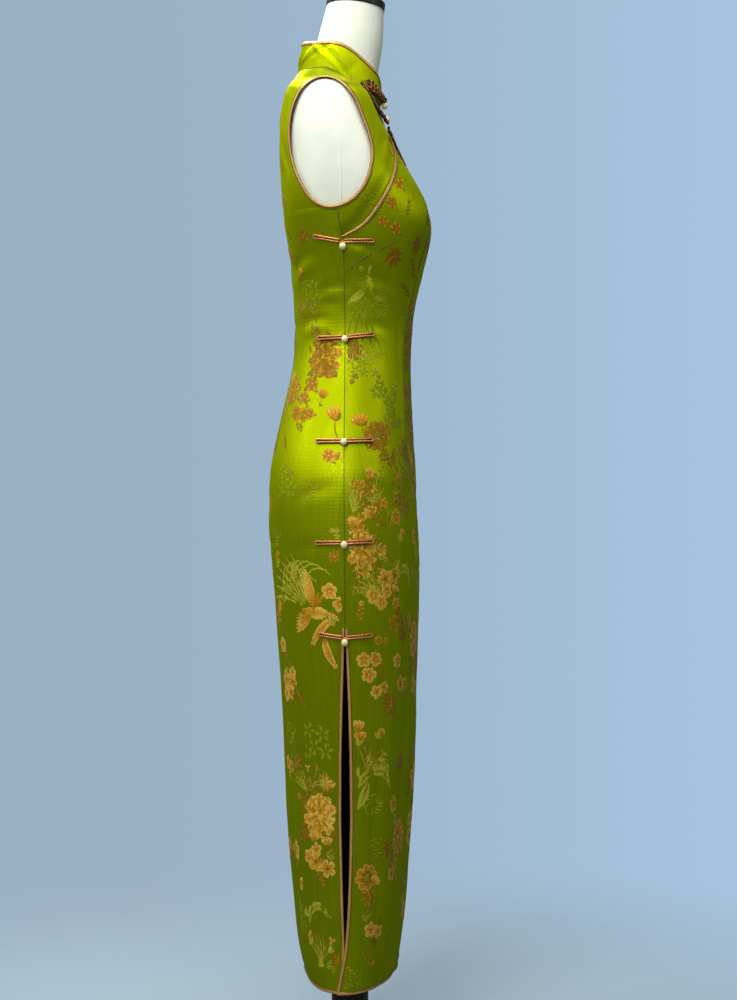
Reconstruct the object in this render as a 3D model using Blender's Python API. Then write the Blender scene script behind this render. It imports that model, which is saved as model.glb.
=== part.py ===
"""A sleeveless full-length cheongsam on a limbless dress form.

The form stands on a round base; the dress hangs on the form's shoulders. +Z is up, the front faces -Y,
the wearer's right side (the side that opens) is at -X, and the origin is on the floor under the pole.
All sizes are in metres.

The whole dress is cut from one body surface, surface(phi, level): phi runs round the body from the
right side seam (0) over the front (pi/2) to the left side seam (pi) and on round the back, and level
runs up it from the hem over the shoulders to the neck seam.
"""

import math

import bmesh
import bpy
import numpy as np

# ---- Driving sizes ----
HEM_HEIGHT = 0.140  # hem above the floor
CLOTH = 0.0012  # thickness of a panel
SEAM_GAP = 0.0003  # clearance between pieces that are sewn together
BIND_WIDTH = 0.0055  # satin binding on every cut edge
BIND_RISE = 0.0006  # how far a binding stands proud of the cloth
FLAP_DROP = CLOTH + 0.0009  # the under flap lies this much deeper than the front
FLAP_DROP_LOW = CLOTH + 0.0016  # and this much under the arm, where the body turns more tightly
SLIT_TOP = 0.654
COLLAR_CLOTH = 0.0018
FORM_EASE = 0.0058  # the form's skin below the dress's outer face
SHOULDER_EASE = 0.0036  # the same at the shoulders, which carry the dress
FORM_BOTTOM = 0.722
PANEL_COLUMNS = 18

# The body surface: one row for each ring. Up to the bust a ring is level. Above it the ring climbs over
# the shoulders, so its side, front and back points have heights of their own.
RING_COLUMNS = (
    "level", "side_z", "front_z", "back_z", "half_width", "side_y", "front_y", "back_y", "front_square", "back_square"
)
RINGS = (
    (0.140, 0.140, 0.140, 0.140, 0.170, -0.0035, -0.0712, 0.0650, 2.05, 1.80),  # hem
    (0.175, 0.175, 0.175, 0.175, 0.169, -0.0060, -0.0763, 0.0730, 2.10, 1.93),
    (0.220, 0.220, 0.220, 0.220, 0.168, -0.0080, -0.0820, 0.0778, 2.15, 2.05),
    (0.290, 0.290, 0.290, 0.290, 0.168, -0.0090, -0.0860, 0.0838, 2.20, 2.15),
    (0.370, 0.370, 0.370, 0.370, 0.168, -0.0090, -0.0915, 0.0895, 2.20, 2.20),
    (0.460, 0.460, 0.460, 0.460, 0.170, -0.0090, -0.0965, 0.0935, 2.20, 2.20),  # knee
    (0.550, 0.550, 0.550, 0.550, 0.173, -0.0090, -0.0985, 0.0997, 2.20, 2.20),
    (0.640, 0.640, 0.640, 0.640, 0.176, -0.0088, -0.1018, 0.1065, 2.20, 2.20),  # slit top
    (0.715, 0.715, 0.715, 0.715, 0.178, -0.0085, -0.1030, 0.1123, 2.20, 2.20),
    (0.790, 0.790, 0.790, 0.790, 0.178, -0.0080, -0.1015, 0.1187, 2.20, 2.20),
    (0.833, 0.833, 0.833, 0.833, 0.176, -0.0075, -0.0992, 0.1190, 2.20, 2.20),  # seat
    (0.878, 0.878, 0.878, 0.878, 0.170, -0.0068, -0.0980, 0.1165, 2.20, 2.20),
    (0.923, 0.923, 0.923, 0.923, 0.159, -0.0060, -0.0948, 0.1085, 2.20, 2.20),
    (0.968, 0.968, 0.968, 0.968, 0.146, -0.0052, -0.0925, 0.0982, 2.20, 2.20),
    (1.013, 1.013, 1.013, 1.013, 0.133, -0.0045, -0.0910, 0.0868, 2.20, 2.20),
    (1.058, 1.058, 1.058, 1.058, 0.1245, -0.0040, -0.0912, 0.0805, 2.20, 2.20),  # waist
    (1.103, 1.103, 1.103, 1.103, 0.1235, -0.0036, -0.0940, 0.0808, 2.22, 2.22),
    (1.148, 1.148, 1.148, 1.148, 0.129, -0.0032, -0.0995, 0.0827, 2.28, 2.28),
    (1.193, 1.193, 1.193, 1.193, 0.138, -0.0025, -0.1055, 0.0880, 2.35, 2.35),
    (1.240, 1.240, 1.240, 1.240, 0.147, 0.0045, -0.1120, 0.0948, 2.42, 2.42),  # bust
    (1.292, 1.292, 1.288, 1.292, 0.154, 0.0085, -0.1015, 0.0998, 2.48, 2.48),
    (1.345, 1.345, 1.334, 1.345, 0.156, 0.0125, -0.0780, 0.1020, 2.50, 2.50),  # chest
    (1.391, 1.391, 1.369, 1.391, 0.152, 0.0195, -0.0618, 0.1005, 2.50, 2.50),
    (1.427, 1.427, 1.395, 1.427, 0.140, 0.0255, -0.0540, 0.0945, 2.50, 2.45),  # shoulder tip
    (1.459, 1.445, 1.408, 1.447, 0.112, 0.0290, -0.0500, 0.0875, 2.45, 2.30),
    (1.488, 1.4565, 1.416, 1.460, 0.086, 0.0320, -0.0470, 0.0820, 2.30, 2.12),
    (1.517, 1.4667, 1.424, 1.472, 0.0625, 0.0340, -0.0447, 0.0770, 2.00, 2.00),  # neck seam
)
NECK_LEVEL = RINGS[-1][0]

BUST = {"x": 0.078, "z": 1.244, "depth": 0.0155, "spread_x": 0.044, "spread_z": 0.048}
HOLLOW = {"x": 0.052, "z": 1.414, "depth": 0.0150, "spread_x": 0.026, "spread_z": 0.021}  # by the collarbones
SKIRT_FOLDS = {"share": 0.012, "starts": 0.68, "full": 0.22, "waves": (5, 8), "turn": (0.6, 2.1)}

# The armhole's open edge as it is seen square to the side, from its lowest point up the front.
ARMHOLE_COLUMNS = ("y", "z")
ARMHOLE = (
    (0.0030, 1.2513),
    (-0.0120, 1.2577),
    (-0.0247, 1.2692),
    (-0.0348, 1.2855),
    (-0.0401, 1.3041),
    (-0.0423, 1.3225),
    (-0.0406, 1.3400),
    (-0.0356, 1.3583),
    (-0.0276, 1.3793),
    (-0.0200, 1.3985),
    (-0.0105, 1.4133),
    (0.0020, 1.4262),
    (0.0160, 1.4340),
    (0.0300, 1.4348),
    (0.0446, 1.4270),
    (0.0570, 1.4150),
    (0.0655, 1.4015),
    (0.0722, 1.3835),
    (0.0748, 1.3620),
    (0.0738, 1.3400),
    (0.0692, 1.3165),
    (0.0627, 1.2976),
    (0.0541, 1.2807),
    (0.0437, 1.2648),
    (0.0312, 1.2545),
    (0.0165, 1.2499),
)

# The front opening's edge, from under the right arm to the middle of the neck: its angle at each level.
PLACKET_COLUMNS = ("level", "degrees")
PLACKET = (
    (1.200, -6.5),
    (1.207, -0.3),
    (1.220, 9.6),
    (1.240, 18.2),
    (1.265, 24.9),
    (1.294, 31.5),
    (1.324, 38.3),
    (1.347, 45.0),
    (1.388, 62.5),
    (1.445, 80.0),
    (1.517, 90.0),
)

# The slit's opening between the two bindings, at each height. Near the hem the front laps the back.
SLIT_COLUMNS = ("z", "gap")
SLIT = (
    (0.140, -0.0060),
    (0.175, -0.0036),
    (0.205, 0.0003),
    (0.247, 0.0047),
    (0.300, 0.0085),
    (0.385, 0.0122),
    (0.470, 0.0110),
    (0.550, 0.0072),
    (0.624, 0.0022),
    (0.646, 0.0003),
    (0.700, 0.0003),
)
LAP_STARTS, LAP_FULL, LAP_DROP, LAP_SHIFT = 0.262, 0.212, 0.0032, 0.004

# The stand collar rises from the neck seam to this ring.
COLLAR_TOP = {
    "side_z": 1.508, "front_z": 1.467, "back_z": 1.518, "half_width": 0.0545, "side_y": 0.0300,
    "front_y": -0.0455, "back_y": 0.0705, "front_square": 2.0, "back_square": 2.0,
}
COLLAR_DIP, NECK_DIP = 2.8, 1.6  # how late a ring's height falls away towards the front
COLLAR_OPENING = 0.0016  # half the gap between the collar's front ends
COLLAR_CORNER = 0.024

# Frogs down the right side seam: height of the bar, half lengths, how far each end is lifted, bead's drop.
SIDE_FROG_COLUMNS = ("z", "back_length", "front_length", "back_lift", "front_lift", "bead_drop")
SIDE_FROGS = (
    (1.2000, 0.041, 0.043, 0.0085, 0.0010, 0.0070),
    (1.0650, 0.041, 0.042, -0.0005, 0.0050, 0.0035),
    (0.9155, 0.040, 0.041, 0.0000, 0.0020, 0.0025),
    (0.7735, 0.041, 0.041, -0.0005, 0.0020, 0.0030),
    (0.6410, 0.037, 0.038, 0.0045, 0.0035, 0.0065),
)
CORD = 0.0034  # the satin cord of the frogs; a bar is this cord laid double
BEAD_WIDE, BEAD_TALL = 0.0048, 0.0054  # half its width and half its height

FROG_CLEARANCE = 0.0007
COLLAR_FROG = {
    "length": 0.048, "low": 0.008, "high": 0.014, "bead": 0.000, "bead_out": 0.0073,
    "lifts": (0.0034, 0.0022, 0.0012, 0.0009, 0.0009, 0.0009, 0.0009, 0.0009, 0.0009),
    "widths": (0.0055, 0.0068, 0.0080, 0.0100, 0.0070, 0.0085, 0.0120, 0.0110, 0.0050),
}
CHEST_FROG = {
    "right": ((-0.006, 1.396), (-0.025, 1.405), (-0.040, 1.414), (-0.052, 1.4255), (-0.062, 1.4370)),
    "left": ((0.006, 1.388), (0.016, 1.374), (0.028, 1.360), (0.036, 1.351), (0.043, 1.342)),
    "bead": (0.0, 1.4005),
    "lift": {"right": 0.0021, "left": 0.0009},
    "widths": (0.0055, 0.0070, 0.0095, 0.0070, 0.0070, 0.0110, 0.0075, 0.0090, 0.0120, 0.0050),
}

# Rings up the neck: the front and back point of each, and half its width.
NECK_COLUMNS = ("front_y", "front_z", "back_y", "back_z", "half_width")
NECK_RINGS = (
    (-0.0360, 1.430, 0.0670, 1.469, 0.0490),
    (-0.0390, 1.452, 0.0590, 1.486, 0.0445),
    (-0.0435, 1.482, 0.0525, 1.505, 0.0425),
    (-0.0480, 1.510, 0.0480, 1.524, 0.0425),
    (-0.0500, 1.538, 0.0415, 1.548, 0.0425),
    (-0.0505, 1.565, 0.0345, 1.574, 0.0420),
)
CAP_RIM, CAP_SIDE, CAP_DOME = 0.0012, 0.010, 0.017
POLE_RADIUS, HUB_RADIUS, HUB_TOP = 0.016, 0.0275, 0.230
BASE_RADIUS, BASE_THICK = 0.190, 0.012

MATERIALS = {
    "green_silk": ((0.36, 0.42, 0.01), 0.38, 0.25),
    "copper_satin": ((0.36, 0.15, 0.05), 0.40, 0.20),
    "pearl_bead": ((0.85, 0.78, 0.52), 0.20, 0.0),
    "form_jersey": ((0.80, 0.83, 0.80), 0.75, 0.0),
    "black_steel": ((0.012, 0.013, 0.018), 0.35, 0.6),
}


# ---- Tables and curves ----
def column(table, names, name):
    return np.array([row[names.index(name)] for row in table], float)


def natural_spline(knots, values):
    """A function through the values with continuous curvature."""
    h = np.diff(knots)
    slope = np.diff(values) / h
    system = np.eye(len(knots))
    right = np.zeros(len(knots))
    for i in range(1, len(knots) - 1):
        system[i, i - 1 : i + 2] = h[i - 1], 2 * (h[i - 1] + h[i]), h[i]
        right[i] = 6 * (slope[i] - slope[i - 1])
    bend = np.linalg.solve(system, right)

    def value(at):
        at = np.clip(np.asarray(at, float), knots[0], knots[-1])
        i = np.clip(np.searchsorted(knots, at) - 1, 0, len(h) - 1)
        a, b = (knots[i + 1] - at) / h[i], (at - knots[i]) / h[i]
        curved = ((a**3 - a) * bend[i] + (b**3 - b) * bend[i + 1]) * h[i] ** 2 / 6
        return a * values[i] + b * values[i + 1] + curved

    return value


def smooth_step(start, end, at):
    t = np.clip((np.asarray(at, float) - start) / (end - start), 0, 1)
    return t * t * (3 - 2 * t)


def unit(vectors):
    return vectors / np.linalg.norm(vectors, axis=-1, keepdims=True)


RING = {
    name: natural_spline(column(RINGS, RING_COLUMNS, "level"), column(RINGS, RING_COLUMNS, name))
    for name in RING_COLUMNS[1:]
}
placket_degrees = natural_spline(
    column(PLACKET, PLACKET_COLUMNS, "level"), column(PLACKET, PLACKET_COLUMNS, "degrees")
)


# ---- The body surface ----
def ring_point(
    phi, side_z, front_z, back_z, half_width, side_y, front_y, back_y, front_square, back_square, dip, swell=1.0
):
    """A superellipse ring whose front and back halves have depths, heights and roundness of their own."""
    in_front = np.sin(phi) >= 0
    depth = np.where(in_front, side_y - front_y, back_y - side_y)
    square = np.where(in_front, front_square, back_square)
    reach = (np.abs(np.cos(phi)) / half_width) ** square + (np.abs(np.sin(phi)) / depth) ** square
    radius = reach ** (-1 / square) * swell
    climb = np.where(in_front, np.abs(np.sin(phi)) ** dip, np.sin(phi) ** 2)
    z = side_z + (np.where(in_front, front_z, back_z) - side_z) * climb
    return np.stack([-radius * np.cos(phi), side_y - radius * np.sin(phi), z], axis=-1)


def surface(phi, level):
    """The dress's outer face at angle phi and level, with the bust and the skirt's soft folds."""
    phi, level = np.broadcast_arrays(np.asarray(phi, float), np.asarray(level, float))
    ring = {name: curve(level) for name, curve in RING.items()}
    hang = smooth_step(SKIRT_FOLDS["starts"], SKIRT_FOLDS["full"], level)
    waves = zip(SKIRT_FOLDS["waves"], SKIRT_FOLDS["turn"])
    wave = sum(np.cos(count * phi + turn) for count, turn in waves)
    swell = 1 + SKIRT_FOLDS["share"] * hang * np.sin(phi) ** 2 * wave
    point = ring_point(phi, dip=NECK_DIP, swell=swell, **ring)
    front = np.clip(np.sin(phi), 0, 1)
    below_neck = 1 - smooth_step(1.480, NECK_LEVEL, level)
    for side in (-1, 1):
        bust, hollow = (
            np.exp(-(((point[..., 0] - side * at["x"]) / at["spread_x"]) ** 2) / 2)
            * np.exp(-(((point[..., 2] - at["z"]) / at["spread_z"]) ** 2) / 2)
            for at in (BUST, HOLLOW)
        )
        point[..., 1] += front * (HOLLOW["depth"] * hollow * below_neck - BUST["depth"] * bust)
    return point


def frame_at(phi, level):
    """Point, steps per unit of phi and of level, and the unit normal that points out of the body."""
    small = 1e-4
    point = surface(phi, level)
    along = (surface(phi + small, level) - surface(phi - small, level)) / (2 * small)
    low = np.minimum(level, NECK_LEVEL - small)
    up = (surface(phi, low + small) - surface(phi, low - small)) / (2 * small)
    return point, along, up, unit(np.cross(along, up))


def lifted(phi, level, height):
    """Points that lie the given height outside the surface."""
    point, _, _, normal = frame_at(phi, level)
    return point + normal * np.broadcast_to(height, point.shape[:-1])[..., None]


def curve_frame(phi, level, closed=False):
    """Point, normal and the direction to the right along a curve on the surface."""
    point, _, _, normal = frame_at(phi, level)
    if closed:
        ahead = np.roll(point, -1, axis=0) - np.roll(point, 1, axis=0)
    else:
        ahead = np.gradient(point, axis=0)
    return point, normal, unit(np.cross(ahead, normal))


def beside(phi, level, distance, closed=False):
    """The curve that runs beside a curve on the surface, at a distance to its right."""
    point, _, right = curve_frame(phi, level, closed)
    target = point + right * distance
    for _ in range(4):
        here, along, up, _ = frame_at(phi, level)
        steps = [
            np.linalg.lstsq(np.stack([a, u], axis=1), d, rcond=None)[0] for a, u, d in zip(along, up, target - here)
        ]
        phi = phi + np.array(steps)[:, 0]
        level = np.minimum(level + np.array(steps)[:, 1], NECK_LEVEL)
    return phi, level


def row_phis(start, end, level, count, crowd=0.45):
    """Angles that cut a row into lengths, shorter ones towards its ends, where the body turns tightly."""
    phis = np.linspace(start, end, 240)
    points = surface(phis, level)
    length = np.concatenate([[0], np.cumsum(np.linalg.norm(np.diff(points, axis=0), axis=1))])
    even = np.linspace(0, 1, count + 1)
    share = even + crowd * ((1 - np.cos(math.pi * even)) / 2 - even)
    return np.interp(share * length[-1], length, phis)


def seam_phi(level, distance):
    """The angle that lies a distance from the side seam."""
    return distance / RING["half_width"](level)


# ---- Armhole and opening as curves on the surface ----
def armhole_curve(count=120):
    """The right armhole's open edge on the surface, from its lowest point up the front and down the back."""
    points = np.array(ARMHOLE)
    wrapped = np.concatenate([points[-4:], points, points[:5]])
    along = np.concatenate([[0], np.cumsum(np.linalg.norm(np.diff(wrapped, axis=0), axis=1))])
    start, end = along[4], along[4 + len(points)]
    at = np.linspace(start, end, count, endpoint=False)
    curve = []
    for y, z in zip(*(natural_spline(along, wrapped[:, k])(at) for k in (0, 1))):
        guess = np.array([-(y - 0.015) / 0.15, min(z, 1.44)])
        for _ in range(40):
            point, along_phi, up, _ = frame_at(guess[0], guess[1])
            step = np.linalg.solve(np.stack([along_phi[1:], up[1:]], axis=1), np.array([y, z]) - point[1:])
            guess = guess + np.clip(step, -0.03, 0.03)
            guess[1] = min(guess[1], NECK_LEVEL - 0.01)
        curve.append(guess)
    return np.array(curve).T


def at_station(curve, station):
    """The curve's values at a place along it, counted in its points. A closed curve goes on into its start."""
    places = np.arange(len(curve[0]) + 1)
    return tuple(np.interp(station, places, np.append(values, values[0])) for values in curve)


def arm_stations(cut):
    """Places along the armhole for its front and its back half, each from the side seam up to the shoulder."""
    count = len(cut[0])
    half, quarter = count // 2, count // 4
    near_top = np.arange(half - quarter // 2, half + quarter // 2)
    top = np.interp(0, -cut[0][near_top], near_top)
    near_foot = np.arange(-quarter // 2, quarter // 2)
    foot = np.interp(0, cut[0][near_foot], near_foot)
    return np.linspace(foot, top, half), np.linspace(foot, top - count, half)


ARM = armhole_curve()
ARM_CUT = beside(*ARM, BIND_WIDTH + SEAM_GAP, closed=True)
ARM_HALVES = {part: places % len(ARM[0]) for part, places in zip((1, -1), arm_stations(ARM_CUT))}
ARM_LOW, ARM_HIGH = (at_station(ARM_CUT, ARM_HALVES[1][end])[1] for end in (0, -1))
OPENING_LEVELS = np.linspace(PLACKET[0][0], NECK_LEVEL, 60)
OPENING = np.radians(placket_degrees(OPENING_LEVELS)), OPENING_LEVELS
OPENING_CUT = beside(*OPENING, BIND_WIDTH + SEAM_GAP)


def arm_station(level, part):
    """The place along the armhole where the cloth's edge crosses a level: part is 1 in front, -1 behind."""
    places = ARM_HALVES[part]
    share = np.interp(level, at_station(ARM_CUT, places)[1], np.linspace(0, 1, len(places)))
    first, last = arm_stations(ARM_CUT)[0 if part > 0 else 1][[0, -1]]
    return (first + (last - first) * share) % len(ARM[0])


def arm_edge(level, part):
    """How far round from the side seam the cloth starts beside the armhole."""
    seam = seam_phi(level, SEAM_GAP / 2)
    beside_arm = part * at_station(ARM_CUT, arm_station(level, part))[0]
    return max(seam, beside_arm) if ARM_LOW < level < ARM_HIGH else seam


def crossing(curve, phi):
    """The level at which a curve crosses an angle near the side seam."""
    return float(np.interp(phi, curve[0][:30], curve[1][:30]))


OPENING_LOW = crossing(OPENING_CUT, seam_phi(PLACKET[0][0], SEAM_GAP / 2))


def opening_edge(level):
    """Where the front panel starts on the right: the side seam, then beside the opening's binding."""
    phis, levels = OPENING_CUT
    if level <= OPENING_LOW:
        return seam_phi(level, SEAM_GAP / 2)
    if level >= levels[-2]:
        return phis[-2] + (phis[-2] - phis[-5]) * (level - levels[-2]) / (levels[-2] - levels[-5])
    return float(np.interp(level, levels, phis))


def panel_levels():
    """The rows of a panel: even steps up the skirt and bodice, closer ones round the armhole."""
    skirt = np.linspace(HEM_HEIGHT + BIND_WIDTH + SEAM_GAP, SLIT_TOP + SEAM_GAP, 12)
    bodice = np.linspace(SLIT_TOP + 0.0012, OPENING_LOW, 18)
    under_arm = np.linspace(OPENING_LOW, ARM_LOW, 5)[1:]
    turns = np.linspace(0, math.pi, 12)[1:]
    armhole = (ARM_LOW + ARM_HIGH) / 2 - np.cos(turns) * (ARM_HIGH - ARM_LOW) / 2
    shoulder = np.linspace(ARM_HIGH, NECK_LEVEL - SEAM_GAP, 5)[1:]
    return np.concatenate([skirt, bodice, under_arm, armhole, shoulder])


# ---- Solids ----
def material_of(name):
    material = bpy.data.materials.get(name)
    if material is None:
        colour, roughness, metallic = MATERIALS[name]
        material = bpy.data.materials.new(name)
        material.use_nodes = True
        shader = material.node_tree.nodes["Principled BSDF"]
        shader.inputs["Base Color"].default_value = (*colour, 1)
        shader.inputs["Roughness"].default_value = roughness
        shader.inputs["Metallic"].default_value = metallic
        material.diffuse_color = (*colour, 1)
    return material


def add_object(name, points, faces, material):
    mesh = bpy.data.meshes.new(name)
    mesh.from_pydata([tuple(point) for point in np.asarray(points).reshape(-1, 3)], [], faces)
    shape = bmesh.new()
    shape.from_mesh(mesh)
    bmesh.ops.recalc_face_normals(shape, faces=shape.faces)
    shape.to_mesh(mesh)
    shape.free()
    mesh.materials.append(material_of(material))
    mesh.shade_smooth()
    mesh.set_sharp_from_angle(angle=math.radians(50))
    obj = bpy.data.objects.new(name, mesh)
    bpy.context.scene.collection.objects.link(obj)


def wall(name, outer, inner, material):
    """A cloth wall between two grids of points, rows up and columns round, closed by a rim."""
    rows, columns = outer.shape[:2]
    index = np.arange(rows * columns).reshape(rows, columns)
    below = index + rows * columns
    faces = []
    for i in range(rows - 1):
        for j in range(columns - 1):
            faces.append((index[i, j], index[i, j + 1], index[i + 1, j + 1], index[i + 1, j]))
            faces.append((below[i, j], below[i + 1, j], below[i + 1, j + 1], below[i, j + 1]))
    rim = [*index[0, :], *index[1:, -1], *index[-1, -2::-1], *index[-2:0:-1, 0]]
    for a, b in zip(rim, rim[1:] + rim[:1]):
        faces.append((a, a + rows * columns, b + rows * columns, b))
    points = np.concatenate([outer.reshape(-1, 3), inner.reshape(-1, 3)])
    add_object(name, points, [tuple(map(int, face)) for face in faces], material)


def sweep(name, sections, material, closed=False):
    """A solid through a row of sections, each a ring of points."""
    count, around = sections.shape[:2]
    index = np.arange(count * around).reshape(count, around)
    faces = []
    for i in range(count if closed else count - 1):
        here, ahead = index[i], index[(i + 1) % count]
        for j in range(around):
            k = (j + 1) % around
            faces.append((here[j], here[k], ahead[k], ahead[j]))
    if not closed:
        faces += [tuple(index[0, ::-1]), tuple(index[-1])]
    add_object(name, sections, [tuple(map(int, face)) for face in faces], material)


# ---- Panels ----
def slit_edges(level, part):
    """Distances from the side seam to the binding's outer edge and to the cloth, for part 1 front, -1 back."""
    gap = np.interp(level, column(SLIT, SLIT_COLUMNS, "z"), column(SLIT, SLIT_COLUMNS, "gap"))
    shift = LAP_SHIFT * smooth_step(0.205, 0.140, level)  # the lapped edge leans to the back
    edge = gap / 2 - part * shift
    return edge, edge + BIND_WIDTH + SEAM_GAP


def panel_grid(levels, right, left, part):
    """Angles of a panel's grid. Beside the slits the outer columns draw back to make room for the binding."""
    grid = []
    for level in levels:
        phis = row_phis(right(level), left(level), level, PANEL_COLUMNS)
        if level < SLIT_TOP + 2 * SEAM_GAP:
            cloth = seam_phi(level, slit_edges(level, part)[1])
            phis[[0, -1]] = (cloth, math.pi - cloth) if part > 0 else (math.pi + cloth, 2 * math.pi - cloth)
        grid.append(phis)
    return np.array(grid)


def lap_drop(phi, level):
    """How far the back panel's edges sink behind the front's near the hem."""
    near = smooth_step(0.20, 0.06, np.abs(np.sin(phi)))
    return LAP_DROP * smooth_step(LAP_STARTS, LAP_FULL, level) * near


def build_front(levels):
    phi = panel_grid(levels, opening_edge, lambda level: math.pi - arm_edge(level, 1), 1)
    level = levels[:, None] + 0 * phi
    wall("front_panel", lifted(phi, level, 0), lifted(phi, level, -CLOTH), "green_silk")
    return phi


def build_back(levels):
    phi = panel_grid(
        levels, lambda level: math.pi + arm_edge(level, -1), lambda level: 2 * math.pi - arm_edge(level, -1), -1
    )
    level = levels[:, None] + 0 * phi
    drop = lap_drop(phi, level)
    wall("back_panel", lifted(phi, level, -drop), lifted(phi, level, -drop - CLOTH), "green_silk")


def build_flap(levels, front_phi):
    """The under flap: from the right armhole and shoulder to one column beneath the front's edge."""
    first = int(np.argmin(np.abs(levels - OPENING_LOW))) - 1
    outer, inner = [], []
    for level, row in zip(levels[first:], front_phi[first:]):
        start = arm_edge(level, 1)
        if row[0] - start < 0.06:
            phis = np.linspace(start, row[1], 9)
        else:
            phis = np.append(np.linspace(start, row[0], 8), row[1])
        edge = float(np.interp(level, OPENING[1], OPENING[0])) if level > OPENING_LOW else 0.0
        clear = (edge - phis) * RING["half_width"](level)
        deep = FLAP_DROP_LOW + (FLAP_DROP - FLAP_DROP_LOW) * smooth_step(1.25, 1.31, level)
        drop = deep * (1 - smooth_step(0.006, 0.027, clear))
        point, _, _, normal = frame_at(phis, level)
        under = phis > row[0]  # beneath the front it follows the front's own facets
        share = ((phis[under] - row[0]) / (row[1] - row[0]))[:, None]
        ends, _, _, end_normals = frame_at(row[:2], level)
        point[under] = ends[0] + (ends[1] - ends[0]) * share
        normal[under] = unit(end_normals[0] + (end_normals[1] - end_normals[0]) * share)
        outer.append(point - normal * drop[:, None])
        inner.append(point - normal * (drop[:, None] + CLOTH))
    wall("under_flap", np.array(outer), np.array(inner), "green_silk")


# ---- Bindings ----
def bind(name, point, normal, inward, under=-CLOTH, closed=False):
    """A binding along an edge: inward points into the cloth, and is longer than 1 at a mitred corner."""
    half, middle = (BIND_RISE - under) / 2, (BIND_RISE + under) / 2
    profile = np.array([
        (0.0, middle - 0.3 * half), (0.0, middle + 0.3 * half), (0.0011, BIND_RISE),
        (BIND_WIDTH - 0.0008, BIND_RISE), (BIND_WIDTH, middle), (BIND_WIDTH - 0.0008, under), (0.0011, under),
    ])
    across, height = profile[None, :, :1], profile[None, :, 1:]
    sections = point[:, None] + inward[:, None] * across + normal[:, None] * height
    sweep(name, sections, "copper_satin", closed)


def build_armhole_bindings(levels):
    """The bindings' sections stand where the panels' rows end, so that both edges run side by side."""
    rows = levels[(levels > ARM_LOW - 1e-6) & (levels < ARM_HIGH + 1e-6)]
    front = [arm_station(level, 1) for level in rows]
    back = [arm_station(level, -1) for level in rows[-2:0:-1]]
    point, normal, right = (
        np.stack(at_station(values.T, np.array(front + back)), axis=1) for values in curve_frame(*ARM, closed=True)
    )
    flip = np.array([-1, 1, 1])
    bind("armhole_binding_right", point, normal, unit(right), closed=True)
    bind("armhole_binding_left", point * flip, normal * flip, unit(right) * flip, closed=True)


def build_placket_binding(levels):
    stations = np.interp(levels[levels < NECK_LEVEL - 0.004], OPENING_CUT[1], np.arange(len(OPENING[0])))
    start = np.interp(0.001, OPENING[0][:30], np.arange(30))
    stations = np.concatenate([[start], stations[stations > start + 0.5], [len(OPENING[0]) - 1.1]])
    point, normal, right = (
        np.stack(at_station(values.T, stations), axis=1) for values in curve_frame(*OPENING)
    )
    # Its lower end is cut along the side seam, and its upper end along the neck seam.
    foot = surface(0.001, OPENING_LOW + 2 * SEAM_GAP)
    head_level = NECK_LEVEL - 3 * SEAM_GAP
    head = surface(opening_edge(head_level) - SEAM_GAP / 0.05, head_level)
    right[0], right[-1] = (foot - point[0]) / BIND_WIDTH, (head - point[-1]) / BIND_WIDTH
    bind("placket_binding", point, normal, right)


def build_hem_binding(name, levels, part):
    """Down one slit edge, along the hem and up the other, with mitred corners."""
    slit = np.concatenate([[SLIT_TOP], levels[levels < SLIT_TOP - 0.01][::-1], [HEM_HEIGHT]])
    edge, cloth = (seam_phi(slit, distance) for distance in slit_edges(slit, part))
    base = 0 if part > 0 else math.pi
    hem = row_phis(base + edge[-1], base + math.pi - edge[-1], HEM_HEIGHT, PANEL_COLUMNS)

    def joined(ends, middle):
        return np.concatenate([base + ends, middle, base + math.pi - ends[::-1]])

    phi, inner_phi = joined(edge, hem[1:-1]), joined(cloth, hem[1:-1])
    level = np.concatenate([slit, np.full(len(hem) - 2, HEM_HEIGHT), slit[::-1]])
    inset = BIND_WIDTH + SEAM_GAP
    behind = 1 if part < 0 else 0
    point = lifted(phi, level, -behind * lap_drop(phi, level))
    inner_level = level + np.where(level == HEM_HEIGHT, inset, 0)
    inner = lifted(inner_phi, inner_level, -behind * lap_drop(inner_phi, inner_level))
    bind(name, point, frame_at(phi, level)[3], (inner - point) / inset)


# ---- Collar ----
def collar_face(phi, height):
    """The collar's outer face: height 0 at the neck seam, 1 at the top ring."""
    phi, height = np.broadcast_arrays(np.asarray(phi, float), np.asarray(height, float))
    low = surface(phi, NECK_LEVEL)
    high = ring_point(phi, dip=COLLAR_DIP, **COLLAR_TOP)
    outward = unit(((low + high) / 2 - np.array([0, 0.015, 0])) * np.array([1, 1, 0]))
    return low + (high - low) * height[..., None] + outward * (0.0012 * np.sin(math.pi * height))[..., None]


def collar_frame(phi, height):
    small = 1e-3
    along = collar_face(phi + small, height) - collar_face(phi - small, height)
    up = collar_face(phi, height + small) - collar_face(phi, height - small)
    return collar_face(phi, height), unit(np.cross(along, up))


COLLAR_TURN = np.linspace(math.pi / 2, 3 * math.pi / 2, 400)
COLLAR_RUN = np.concatenate(
    [[0], np.cumsum(np.linalg.norm(np.diff(collar_face(COLLAR_TURN, 0.5), axis=0), axis=1))]
)


def collar_point(run, rise):
    """A point of the collar by its distance along from the front middle and its height above the neck seam.

    Positive runs go by the wearer's left side; negative ones by the right.
    """
    run, rise = np.broadcast_arrays(np.asarray(run, float), np.asarray(rise, float))
    turn = np.interp(np.abs(run), COLLAR_RUN, COLLAR_TURN) - math.pi / 2
    phi = math.pi / 2 + np.where(run < 0, -turn, turn)
    tall = np.linalg.norm(collar_face(phi, 1) - collar_face(phi, 0), axis=-1)
    return collar_frame(phi, rise / tall)


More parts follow.
